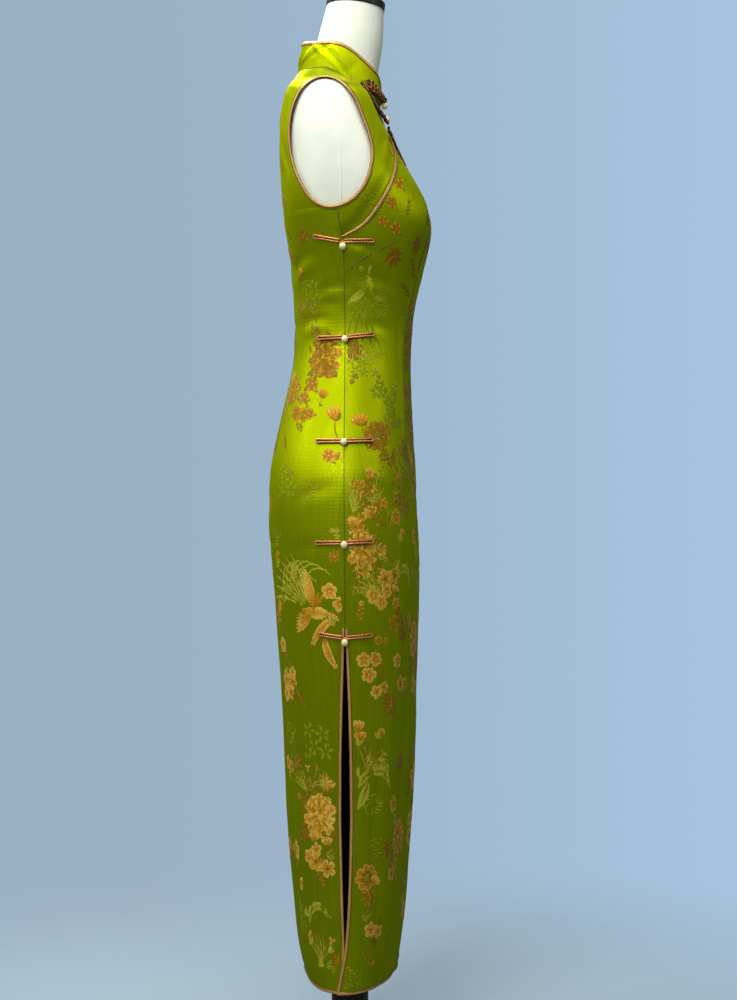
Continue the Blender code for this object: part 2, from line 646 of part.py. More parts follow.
def collar_tall(run):
    phi = math.pi / 2 + np.interp(np.abs(run), COLLAR_RUN, COLLAR_TURN) - math.pi / 2
    return np.linalg.norm(collar_face(phi, 1) - collar_face(phi, 0), axis=-1)


def build_collar():
    """The stand collar: each front end has a rounded corner, which the binding turns about too."""
    inset = BIND_WIDTH + SEAM_GAP
    middle = COLLAR_OPENING + COLLAR_CORNER
    turns = np.linspace(0, math.pi / 2, 6)
    top = collar_tall(middle)
    corner_run = middle - (COLLAR_CORNER - inset) * np.cos(turns)
    corner_rise = top - COLLAR_CORNER + (COLLAR_CORNER - inset) * np.sin(turns)
    far_run = np.linspace(middle, COLLAR_RUN[-1], 13)[1:]
    half_run = np.concatenate([corner_run, far_run])
    half_rise = np.concatenate([corner_rise, collar_tall(far_run) - inset])
    run = np.concatenate([half_run, -half_run[-2::-1]])
    rise = np.concatenate([half_rise, half_rise[-2::-1]])
    share = np.linspace(0, 1, 5)[:, None]
    point, normal = collar_point(run[None, :] + 0 * share, SEAM_GAP + (rise[None, :] - SEAM_GAP) * share)
    wall("collar", point, point - normal * COLLAR_CLOTH, "green_silk")

    edge_run = np.concatenate([[COLLAR_OPENING], middle - COLLAR_CORNER * np.cos(turns), far_run])
    edge_rise = np.concatenate(
        [[2 * SEAM_GAP], top - COLLAR_CORNER + COLLAR_CORNER * np.sin(turns), collar_tall(far_run)]
    )
    run = np.concatenate([edge_run, -edge_run[-2::-1]])
    rise = np.concatenate([edge_rise, edge_rise[-2::-1]])
    point, normal = collar_point(run, rise)
    inner_run = np.concatenate([[COLLAR_OPENING + inset], half_run])
    inner_rise = np.concatenate([[2 * SEAM_GAP], half_rise])
    inner, _ = collar_point(
        np.concatenate([inner_run, -inner_run[-2::-1]]), np.concatenate([inner_rise, inner_rise[-2::-1]])
    )
    bind("collar_binding", point, normal, (inner - point) / inset, under=-COLLAR_CLOTH)


# ---- Frogs ----
def frog_bar(name, point, normal, widths, clearance):
    """A bar of doubled cord along points on the cloth: two cords side by side, with a groove between."""
    across = unit(np.cross(normal, np.gradient(point, axis=0)))
    profile = np.array([
        (-1, 0.30), (-0.85, 0), (0.85, 0), (1, 0.30), (1, 0.65), (0.55, 1), (0, 0.62), (-0.55, 1), (-1, 0.65),
    ])
    sections = []
    for p, n, a, width in zip(point, normal, across, widths):
        sections.append(p + a * profile[:, :1] * width / 2 + n * (profile[:, 1:] * CORD + clearance))
    sweep(name, np.array(sections), "copper_satin")


def add_bead(name, centre, normal):
    """An oval bead, tall along the body and round about that."""
    up = unit(np.array([0, 0, 1.0]) - normal * normal[2])
    side = np.cross(normal, up)
    turns = np.linspace(0, 2 * math.pi, 12, endpoint=False)
    rings = []
    for lift in np.radians((-74, -42, 0, 42, 74)):
        around = np.outer(np.cos(turns), side) + np.outer(np.sin(turns), normal)
        rings.append(centre + around * BEAD_WIDE * math.cos(lift) + up * BEAD_TALL * math.sin(lift))
    sweep(name, np.array(rings), "pearl_bead")


def build_side_frogs():
    for number, row in enumerate(SIDE_FROGS, 1):
        frog = dict(zip(SIDE_FROG_COLUMNS, row))
        for part, end in ((1, "front"), (-1, "back")):
            length, lift = frog[f"{end}_length"], frog[f"{end}_lift"]
            run = np.linspace(BEAD_WIDE + 2 * SEAM_GAP, length, 7)
            level = frog["z"] + lift * (run / length) ** 1.2
            point, _, _, normal = frame_at(part * seam_phi(level, run), level)
            widths = 2 * CORD * np.array([0.75, 1.0, 1.0, 1.0, 1.0, 1.06, 0.95])
            frog_bar(f"side_frog_{number}_{end}", point, normal, widths, FROG_CLEARANCE)
        point, _, _, normal = frame_at(np.array([0.0]), np.array([frog["z"] - frog["bead_drop"]]))
        centre = point[0] + normal[0] * (BEAD_WIDE + 2 * SEAM_GAP)
        add_bead(f"side_frog_{number}_bead", centre, normal[0])


def on_front(x, z):
    """Angle and level of the front's point at a given x and height."""
    guess = np.array([math.pi / 2 + x / 0.06, z + 0.02])
    for _ in range(60):
        point, along, up, _ = frame_at(guess[0], guess[1])
        error = np.array([x, z]) - point[[0, 2]]
        step = np.linalg.solve(np.stack([along[[0, 2]], up[[0, 2]]], axis=1), error)
        guess = guess + np.clip(step, -0.05, 0.05)
        guess[1] = min(guess[1], NECK_LEVEL - SEAM_GAP)
    return guess


def build_collar_frog():
    """The flower frog at the collar: one half on each front end."""
    for part, end in ((-1, "right"), (1, "left")):
        run = np.linspace(0.0010, COLLAR_FROG["length"], 9)
        rise = COLLAR_FROG["low"] + (COLLAR_FROG["high"] - COLLAR_FROG["low"]) * run / run[-1]
        point, normal = collar_point(part * run, rise)
        lift = np.array(COLLAR_FROG["lifts"])[:, None]
        frog_bar(f"collar_frog_{end}", point + normal * lift, normal, COLLAR_FROG["widths"], 0)
    point, normal = collar_point(0.0, COLLAR_FROG["bead"])
    add_bead("collar_frog_bead", point + normal * COLLAR_FROG["bead_out"], normal)


def build_chest_frog():
    """The long flower frog below the collar: one half to the right shoulder, one down the left chest."""
    for end in ("right", "left"):
        path = CHEST_FROG[end]
        share = np.linspace(0, 1, len(CHEST_FROG["widths"]))
        knots = np.linspace(0, 1, len(path))
        xs = np.interp(share, knots, [p[0] for p in path])
        zs = np.interp(share, knots, [p[1] for p in path])
        places = np.array([on_front(x, z) for x, z in zip(xs, zs)])
        point, _, _, normal = frame_at(places[:, 0], places[:, 1])
        frog_bar(f"chest_frog_{end}", point, normal, CHEST_FROG["widths"], CHEST_FROG["lift"][end])
    phi, level = on_front(*CHEST_FROG["bead"])
    point, _, _, normal = frame_at(np.array([phi]), np.array([level]))
    add_bead("chest_frog_bead", point[0] + normal[0] * (BEAD_WIDE + SEAM_GAP), normal[0])


# ---- Dress form and stand ----
def neck_ring(turns, row):
    """A flat tilted oval through a front and a back point."""
    ring = dict(zip(NECK_COLUMNS, row))
    front = np.array([0, ring["front_y"], ring["front_z"]])
    back = np.array([0, ring["back_y"], ring["back_z"]])
    side = np.array([ring["half_width"], 0, 0])
    return (front + back) / 2 - np.outer(np.cos(turns), side) + np.outer(np.sin(turns), (front - back) / 2)


def build_form():
    """The torso follows the dress inside; the neck rises inside the collar. The cap sits on the neck."""
    count = 34
    turns = np.linspace(0, 2 * math.pi, count, endpoint=False)
    levels = np.concatenate([
        np.linspace(FORM_BOTTOM, 1.19, 14), np.linspace(1.225, 1.420, 8), np.linspace(1.436, 1.505, 5),
    ])
    rings = []
    for level in levels:
        phis = row_phis(0, 2 * math.pi, level, count)[:-1]
        carried = smooth_step(1.38, 1.44, level) * (1 - smooth_step(0.5, 0.9, np.sin(phis)))
        ease = FORM_EASE + (SHOULDER_EASE - FORM_EASE) * carried
        rings.append(lifted(phis, level + 0 * phis, -ease))
    rings += [neck_ring(turns, row) for row in NECK_RINGS]
    sweep("dress_form", np.array(rings), "form_jersey")

    rim = rings[-1][::2]
    middle = rim.mean(axis=0)
    up = unit(np.cross(rim[0] - middle, rim[len(rim) // 4] - middle))
    across = (rim - middle) * (1 + CAP_RIM / NECK_RINGS[-1][-1])
    domed = [middle + across + up * SEAM_GAP]
    for turn in np.radians((0, 25, 50, 72)):
        height = CAP_SIDE + (CAP_DOME - CAP_SIDE) * math.sin(turn)
        domed.append(middle + across * math.cos(turn) ** 0.7 + up * height)
    sweep("neck_cap", np.array(domed), "black_steel")


def turned(name, profile, segments):
    """A steel solid of revolution about the Z axis from (radius, height) points, with flat ends."""
    turns = np.linspace(0, 2 * math.pi, segments, endpoint=False)
    circle = np.stack([np.cos(turns), np.sin(turns), 0 * turns], axis=-1)
    rings = [circle * radius + np.array([0, 0, height]) for radius, height in profile]
    sweep(name, np.array(rings), "black_steel")


def build_stand():
    edge = 0.003
    turned("stand_base", [
        (BASE_RADIUS - edge, 0.0), (BASE_RADIUS, edge), (BASE_RADIUS, BASE_THICK - edge),
        (BASE_RADIUS - edge, BASE_THICK), (HUB_RADIUS + 0.010, BASE_THICK + 0.002), (HUB_RADIUS, 0.030),
        (HUB_RADIUS, HUB_TOP - edge), (HUB_RADIUS - edge, HUB_TOP),
    ], 40)
    turned("stand_pole", [
        (POLE_RADIUS, HUB_TOP + SEAM_GAP), (POLE_RADIUS, FORM_BOTTOM - 0.014),
        (0.034, FORM_BOTTOM - 0.012), (0.034, FORM_BOTTOM - SEAM_GAP),
    ], 20)


def main():
    for obj in list(bpy.data.objects):
        bpy.data.objects.remove(obj, do_unlink=True)
    levels = panel_levels()
    front_phi = build_front(levels)
    build_back(levels)
    build_flap(levels, front_phi)
    build_armhole_bindings(levels)
    build_placket_binding(levels)
    build_hem_binding("front_hem_binding", levels, 1)
    build_hem_binding("back_hem_binding", levels, -1)
    build_collar()
    build_side_frogs()
    build_collar_frog()
    build_chest_frog()
    build_form()
    build_stand()


main()
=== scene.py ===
# A sleeveless brocade cheongsam on a limbless dress form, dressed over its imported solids.
# Metres throughout; +Z is up, the front faces -Y and the side that opens is at -X.
import math

import bpy
import numpy as np
from mathutils import Matrix


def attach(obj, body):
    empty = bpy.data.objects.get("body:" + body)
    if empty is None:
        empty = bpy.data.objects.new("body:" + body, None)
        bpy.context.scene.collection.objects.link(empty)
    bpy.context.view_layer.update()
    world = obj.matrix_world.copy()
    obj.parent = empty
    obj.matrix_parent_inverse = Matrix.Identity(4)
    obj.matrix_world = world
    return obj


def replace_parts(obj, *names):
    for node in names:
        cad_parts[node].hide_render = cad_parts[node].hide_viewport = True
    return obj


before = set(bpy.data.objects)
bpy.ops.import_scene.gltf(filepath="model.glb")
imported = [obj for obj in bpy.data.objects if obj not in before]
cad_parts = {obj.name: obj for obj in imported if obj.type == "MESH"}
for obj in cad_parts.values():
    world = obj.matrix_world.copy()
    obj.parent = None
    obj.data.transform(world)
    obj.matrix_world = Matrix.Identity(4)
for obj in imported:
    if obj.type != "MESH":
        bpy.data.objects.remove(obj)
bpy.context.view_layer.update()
print("frame loaded")


# Small helpers

def linear(hexColour):
    # sRGB hex to linear light: a straight line near black, a power of 2.4 above it
    values = np.array([int(hexColour[i:i + 2], 16) for i in (1, 3, 5)]) / 255
    light = np.where(values <= 0.04045, values / 12.92, ((values + 0.055) / 1.055) ** 2.4)
    return (*(float(v) for v in light), 1.0)


def addNode(tree, kind, inputs=None, **settings):
    # one shader node, its settings, and values or links for its sockets
    node = tree.nodes.new("ShaderNode" + kind)
    for name, value in settings.items():
        setattr(node, name, value)
    for socket, value in (inputs or {}).items():
        if isinstance(value, bpy.types.NodeSocket):
            tree.links.new(value, node.inputs[socket])
        else:
            node.inputs[socket].default_value = value
    return node


def setRamp(node, stops):
    # colour stops as (position, hex)
    ramp = node.color_ramp
    while len(ramp.elements) < len(stops):
        ramp.elements.new(1.0)
    for element, (position, colour) in zip(ramp.elements, stops):
        element.position = position
        element.color = linear(colour)
    return node


def newMaterial(name, **shaderValues):
    material = bpy.data.materials.new(name)
    material.use_nodes = True
    tree = material.node_tree
    shader = tree.nodes["Principled BSDF"]
    for socket, value in shaderValues.items():
        shader.inputs[socket.replace("_", " ")].default_value = value
    return material, tree, shader


def gridQuads(rows, columns, wrapRows=False, wrapColumns=False):
    # quads between the points of a grid numbered row by row
    i = np.arange(rows if wrapRows else rows - 1)[:, None]
    j = np.arange(columns if wrapColumns else columns - 1)[None, :]
    iNext, jNext = (i + 1) % rows, (j + 1) % columns
    corners = [i * columns + j, i * columns + jNext, iNext * columns + jNext, iNext * columns + j]
    return np.stack(np.broadcast_arrays(*corners), axis=-1).reshape(-1, 4)


def addMesh(name, points, quads, material, uv=None, tone=None, ends=(), sharp=40):
    mesh = bpy.data.meshes.new(name)
    faces = quads.tolist() + [tuple(int(v) for v in end) for end in ends]
    mesh.from_pydata(np.asarray(points, float).reshape(-1, 3).tolist(), [], faces)
    if uv is not None:
        corner = np.empty(len(mesh.loops), np.int32)
        mesh.loops.foreach_get("vertex_index", corner)
        layer = mesh.uv_layers.new(name="cloth")
        layer.data.foreach_set("uv", np.asarray(uv, float).reshape(-1, 2)[corner].ravel())
    if tone is not None:
        attribute = mesh.attributes.new("tone", "FLOAT", "POINT")
        attribute.data.foreach_set("value", np.asarray(tone, float).ravel())
    mesh.materials.append(material)
    mesh.shade_smooth()
    mesh.set_sharp_from_angle(angle=math.radians(sharp))
    obj = bpy.data.objects.new(name, mesh)
    bpy.context.scene.collection.objects.link(obj)
    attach(obj, "root")
    return obj


def unit(vectors):
    return vectors / np.linalg.norm(vectors, axis=-1, keepdims=True)


def runAlong(points):
    # the distance along each row of points, from its first one
    steps = np.cumsum(np.linalg.norm(np.diff(points, axis=-2), axis=-1), axis=-1)
    return np.concatenate([np.zeros((*steps.shape[:-1], 1)), steps], axis=-1)


def tubeFaces(sections, row, away, step=1, closed=False):
    # quads between a tube's sections and a cap at each end, all facing outward: away is outward at a corner
    rows, columns = sections.shape[:2]
    quads = gridQuads(rows, columns, wrapRows=closed, wrapColumns=True)
    ends = [] if closed else [np.arange(columns)[::-1], np.arange(columns) + (rows - 1) * columns]
    corner = sections[row, 0]
    if np.cross(sections[row, step] - corner, sections[row + 1, 0] - corner) @ away < 0:
        quads, ends = quads[:, ::-1], [end[::-1] for end in ends]
    return quads, ends


def smoothStep(start, end, at):
    t = np.clip((np.asarray(at, float) - start) / (end - start), 0, 1)
    return t * t * (3 - 2 * t)


def naturalSpline(knots, values):
    # the curve of continuous bending through the values: one linear system for its second derivatives
    h = np.diff(knots)
    slope = np.diff(values) / h
    system, right = np.eye(len(knots)), np.zeros(len(knots))
    for i in range(1, len(knots) - 1):
        system[i, i - 1:i + 2] = h[i - 1], 2 * (h[i - 1] + h[i]), h[i]
        right[i] = 6 * (slope[i] - slope[i - 1])
    bend = np.linalg.solve(system, right)

    def value(at):
        at = np.clip(np.asarray(at, float), knots[0], knots[-1])
        i = np.clip(np.searchsorted(knots, at) - 1, 0, len(h) - 1)
        a, b = (knots[i + 1] - at) / h[i], (at - knots[i]) / h[i]
        curved = ((a**3 - a) * bend[i] + (b**3 - b) * bend[i + 1]) * h[i] ** 2 / 6
        return a * values[i] + b * values[i + 1] + curved

    return value


# The body surface, the same one that the solids are cut from

body = {
    "hem": 0.140, "neck": 1.517, "cloth": 0.0012, "gap": 0.0003, "bindWidth": 0.0055,
    "slitTop": 0.654, "flapDrop": 0.0021, "flapDropLow": 0.0028, "flapReach": 0.012,
    "frontDip": 1.6,  # how sharply the rings dip towards the front's middle
    "folds": {"size": 0.012, "waves": ((5, 0.6), (8, 2.1)), "from": 0.68, "full": 0.22},
    "lap": {"aside": 0.004, "sink": 0.0032, "reach": 0.20},  # the front's slit edges lap the back's below
    "bust": {"x": 0.078, "z": 1.244, "depth": 0.0155, "spreadX": 0.044, "spreadZ": 0.048},
    "hollow": {"x": 0.052, "z": 1.414, "depth": 0.0150, "spreadX": 0.026, "spreadZ": 0.021},
}
ringColumns = ("level", "sideZ", "frontZ", "backZ", "halfWidth", "sideY", "frontY", "backY",
               "frontSquare", "backSquare")
# rings that lie level, with one height for all four
levelRings = (
    (0.140, 0.170, -0.0035, -0.0712, 0.0650, 2.05, 1.80),
    (0.175, 0.169, -0.0060, -0.0763, 0.0730, 2.10, 1.93),
    (0.220, 0.168, -0.0080, -0.0820, 0.0778, 2.15, 2.05),
    (0.290, 0.168, -0.0090, -0.0860, 0.0838, 2.20, 2.15),
    (0.370, 0.168, -0.0090, -0.0915, 0.0895, 2.20, 2.20),
    (0.460, 0.170, -0.0090, -0.0965, 0.0935, 2.20, 2.20),
    (0.550, 0.173, -0.0090, -0.0985, 0.0997, 2.20, 2.20),
    (0.640, 0.176, -0.0088, -0.1018, 0.1065, 2.20, 2.20),
    (0.715, 0.178, -0.0085, -0.1030, 0.1123, 2.20, 2.20),
    (0.790, 0.178, -0.0080, -0.1015, 0.1187, 2.20, 2.20),
    (0.833, 0.176, -0.0075, -0.0992, 0.1190, 2.20, 2.20),
    (0.878, 0.170, -0.0068, -0.0980, 0.1165, 2.20, 2.20),
    (0.923, 0.159, -0.0060, -0.0948, 0.1085, 2.20, 2.20),
    (0.968, 0.146, -0.0052, -0.0925, 0.0982, 2.20, 2.20),
    (1.013, 0.133, -0.0045, -0.0910, 0.0868, 2.20, 2.20),
    (1.058, 0.1245, -0.0040, -0.0912, 0.0805, 2.20, 2.20),
    (1.103, 0.1235, -0.0036, -0.0940, 0.0808, 2.22, 2.22),
    (1.148, 0.129, -0.0032, -0.0995, 0.0827, 2.28, 2.28),
    (1.193, 0.138, -0.0025, -0.1055, 0.0880, 2.35, 2.35),
    (1.240, 0.147, 0.0045, -0.1120, 0.0948, 2.42, 2.42),
)
# rings that dip at the front and turn over the shoulders
shoulderRings = (
    (1.292, 1.292, 1.288, 1.292, 0.154, 0.0085, -0.1015, 0.0998, 2.48, 2.48),
    (1.345, 1.345, 1.334, 1.345, 0.156, 0.0125, -0.0780, 0.1020, 2.50, 2.50),
    (1.391, 1.391, 1.369, 1.391, 0.152, 0.0195, -0.0618, 0.1005, 2.50, 2.50),
    (1.427, 1.427, 1.395, 1.427, 0.140, 0.0255, -0.0540, 0.0945, 2.50, 2.45),
    (1.459, 1.445, 1.408, 1.447, 0.112, 0.0290, -0.0500, 0.0875, 2.45, 2.30),
    (1.488, 1.4565, 1.416, 1.460, 0.086, 0.0320, -0.0470, 0.0820, 2.30, 2.12),
    (1.517, 1.4667, 1.424, 1.472, 0.0625, 0.0340, -0.0447, 0.0770, 2.00, 2.00),
)
rings = np.array([(*row[:1] * 4, *row[1:]) for row in levelRings] + list(shoulderRings))
# the armhole's open edge seen square to the side, (y, z) from its lowest point up the front
armholeOutline = np.array((
    (0.0030, 1.2513), (-0.0120, 1.2577), (-0.0247, 1.2692), (-0.0348, 1.2855), (-0.0401, 1.3041),
    (-0.0423, 1.3225), (-0.0406, 1.3400), (-0.0356, 1.3583), (-0.0276, 1.3793), (-0.0200, 1.3985),
    (-0.0105, 1.4133), (0.0020, 1.4262), (0.0160, 1.4340), (0.0300, 1.4348), (0.0446, 1.4270),
    (0.0570, 1.4150), (0.0655, 1.4015), (0.0722, 1.3835), (0.0748, 1.3620), (0.0738, 1.3400),
    (0.0692, 1.3165), (0.0627, 1.2976), (0.0541, 1.2807), (0.0437, 1.2648), (0.0312, 1.2545),
    (0.0165, 1.2499),
))
# the front opening's edge: (level, degrees round from the side seam)
placketOutline = np.array((
    (1.200, -6.5), (1.207, -0.3), (1.220, 9.6), (1.240, 18.2), (1.265, 24.9), (1.294, 31.5),
    (1.324, 38.3), (1.347, 45.0), (1.388, 62.5), (1.445, 80.0), (1.517, 90.0),
))
# the slit's opening between its two bindings: (height, gap)
slitOutline = np.array((
    (0.140, -0.0060), (0.175, -0.0036), (0.205, 0.0003), (0.247, 0.0047), (0.300, 0.0085), (0.385, 0.0122),
    (0.470, 0.0110), (0.550, 0.0072), (0.624, 0.0022), (0.646, 0.0003), (0.700, 0.0003),
))
ringCurve = {name: naturalSpline(rings[:, 0], rings[:, k]) for k, name in enumerate(ringColumns) if k}
placketDegrees = naturalSpline(placketOutline[:, 0], placketOutline[:, 1])


def ringPoint(phi, sideZ, frontZ, backZ, halfWidth, sideY, frontY, backY, frontSquare, backSquare,
              dip, swell=1.0):
    # a superellipse whose front and back halves have their own depth, height and roundness
    inFront = np.sin(phi) >= 0
    depth = np.where(inFront, sideY - frontY, backY - sideY)
    square = np.where(inFront, frontSquare, backSquare)
    reach = (np.abs(np.cos(phi)) / halfWidth) ** square + (np.abs(np.sin(phi)) / depth) ** square
    radius = reach ** (-1 / square) * swell
    climb = np.where(inFront, np.abs(np.sin(phi)) ** dip, np.sin(phi) ** 2)
    z = sideZ + (np.where(inFront, frontZ, backZ) - sideZ) * climb
    return np.stack([-radius * np.cos(phi), sideY - radius * np.sin(phi), z], axis=-1)


def bodySurface(phi, level):
    # ring by ring from the splines, swelled into soft skirt folds, with the bust pushed out and the
    # hollows by the collarbones pulled in as round bumps
    phi, level = np.broadcast_arrays(np.asarray(phi, float), np.asarray(level, float))
    ring = {name: curve(level) for name, curve in ringCurve.items()}
    folds = body["folds"]
    hang = smoothStep(folds["from"], folds["full"], level)
    wave = sum(np.cos(count * phi + shift) for count, shift in folds["waves"])
    swell = 1 + folds["size"] * hang * np.sin(phi) ** 2 * wave
    point = ringPoint(phi, dip=body["frontDip"], swell=swell, **ring)
    front = np.clip(np.sin(phi), 0, 1)
    belowNeck = 1 - smoothStep(1.480, body["neck"], level)
    for side in (-1, 1):
        for form, sign in ((body["bust"], -1), (body["hollow"], belowNeck)):
            bump = np.exp(-(((point[..., 0] - side * form["x"]) / form["spreadX"]) ** 2) / 2)
            bump = bump * np.exp(-(((point[..., 2] - form["z"]) / form["spreadZ"]) ** 2) / 2)
            point[..., 1] += front * sign * form["depth"] * bump
    return point


def surfaceFrame(phi, level):
    # point, steps per unit of phi and of level, and the outward normal
    small = 1e-4
    point = bodySurface(phi, level)
    along = (bodySurface(phi + small, level) - bodySurface(phi - small, level)) / (2 * small)
    low = np.minimum(level, body["neck"] - small)
    up = (bodySurface(phi, low + small) - bodySurface(phi, low - small)) / (2 * small)
    return point, along, up, unit(np.cross(along, up))


def lifted(phi, level, height):
    point, _, _, normal = surfaceFrame(phi, level)
    return point + normal * np.broadcast_to(height, point.shape[:-1])[..., None]


def curveFrame(phi, level, closed=False):
    # point, normal and the direction to the right along a curve on the surface
    point, _, _, normal = surfaceFrame(phi, level)
    ahead = np.roll(point, -1, axis=0) - np.roll(point, 1, axis=0) if closed else np.gradient(point, axis=0)
    return point, normal, unit(np.cross(ahead, normal))


def solvePair(a, b, c, d, e, f):
    # x and y of the two equations a x + b y = e and c x + d y = f
    whole = a * d - b * c
    return (d * e - b * f) / whole, (a * f - c * e) / whole


def beside(phi, level, distance, closed=False):
    # the curve a distance to the right of a curve on the surface, by four Newton steps
    point, _, right = curveFrame(phi, level, closed)
    target = point + right * distance
    dot = lambda a, b: (a * b).sum(-1)
    for _ in range(4):
        here, along, up, _ = surfaceFrame(phi, level)
        off = target - here
        across = dot(along, up)
        turn, climb = solvePair(dot(along, along), across, across, dot(up, up), dot(along, off), dot(up, off))
        phi = phi + turn
        level = np.minimum(level + climb, body["neck"])
    return phi, level


def findOnSurface(axis, value, z, phi, level, limit, rounds, margin):
    # the surface's points at given x (axis 0) or y (axis 1) and height, by Newton steps of limited length
    for _ in range(rounds):
        point, along, up, _ = surfaceFrame(phi, level)
        turn, climb = solvePair(along[:, axis], up[:, axis], along[:, 2], up[:, 2],
                                value - point[:, axis], z - point[:, 2])
        phi = phi + np.clip(turn, -limit, limit)
        level = np.minimum(level + np.clip(climb, -limit, limit), body["neck"] - margin)
    return phi, level


def rowPhis(start, end, level, count, crowd=0.45):
    # angles that cut each row, from its start, end and level, into lengths that are shorter towards its ends
    share = np.linspace(0, 1, 160)
    phis = start[:, None] + (end - start)[:, None] * share
    length = runAlong(bodySurface(phis, level[:, None] + 0 * phis))
    even = np.linspace(0, 1, count + 1)
    even = even + crowd * ((1 - np.cos(math.pi * even)) / 2 - even)
    return np.array([np.interp(even * run[-1], run, row) for run, row in zip(length, phis)])


def seamPhi(level, distance):
    return distance / ringCurve["halfWidth"](level)


def armholeCurve(count=240):
    # the outline's points, found on the surface
    wrapped = np.concatenate([armholeOutline[-4:], armholeOutline, armholeOutline[:5]])
    along = runAlong(wrapped)
    at = np.linspace(along[4], along[4 + len(armholeOutline)], count, endpoint=False)
    y, z = (naturalSpline(along, wrapped[:, k])(at) for k in (0, 1))
    phi, level = -(y - 0.015) / 0.15, np.minimum(z, 1.44)
    return findOnSurface(1, y, z, phi, level, limit=0.03, rounds=40, margin=0.01)


armhole = armholeCurve()
tuck = 0.0034  # the cloth is cut this far inside a binding's edge, so that it runs on under it
armCut = beside(*armhole, tuck, closed=True)
openingLevels = np.linspace(placketOutline[0, 0], body["neck"], 160)
opening = np.radians(placketDegrees(openingLevels)), openingLevels
openingCut = beside(*opening, tuck)


def armHalves():
    # the armhole's cut split into front and back halves, each from its lowest point to its highest
    phi, level = armCut
    count = len(phi)
    order = np.argsort(np.where(np.abs(phi) < 0.3, level, 9))
    foot = order[0]
    around = (foot + np.arange(count)) % count
    top = int(np.argmax(level[around]))
    rising, falling = around[:top + 1], around[top:][::-1]
    return (phi[rising], level[rising]), (phi[falling], level[falling])


armFront, armBack = armHalves()
if armFront[0].mean() < armBack[0].mean():
    armFront, armBack = armBack, armFront
armLow, armHigh = armFront[1].min(), armFront[1].max()


def armEdge(level, part):
    # how far round from the side seam the cloth starts beside the armhole, at each level
    phi, levels = armFront if part > 0 else armBack
    order = np.argsort(levels)
    seam = seamPhi(level, body["gap"] / 2)
    besideArm = part * np.interp(level, levels[order], phi[order])
    return np.where((level > armLow) & (level < armHigh), np.maximum(seam, besideArm), seam)


openingLow = float(np.interp(seamPhi(1.2, 0.00015), openingCut[0][:60], openingCut[1][:60]))


def openingEdge(level):
    # where the front panel starts on the right: the side seam, then beside the opening's binding
    phis, levels = openingCut
    past = phis[-3] + (phis[-3] - phis[-9]) * (level - levels[-3]) / (levels[-3] - levels[-9])
    edge = np.where(level >= levels[-3], past, np.interp(level, levels, phis))
    return np.where(level <= openingLow, seamPhi(level, body["gap"] / 2), edge)


def slitEdges(level, part, inset=None):
    # distances from the side seam to the binding's outer edge and to the cloth
    gap = np.interp(level, slitOutline[:, 0], slitOutline[:, 1])
    edge = gap / 2 - part * body["lap"]["aside"] * smoothStep(0.205, body["hem"], level)
    return edge, edge + (tuck if inset is None else inset)


def lapDrop(phi, level):
    # how far the back's slit edges sink behind the front's near the hem
    near = smoothStep(body["lap"]["reach"], 0.06, np.abs(np.sin(phi)))
    return body["lap"]["sink"] * smoothStep(0.262, 0.212, level) * near


# Creases, as soft troughs and ridges in millimetres

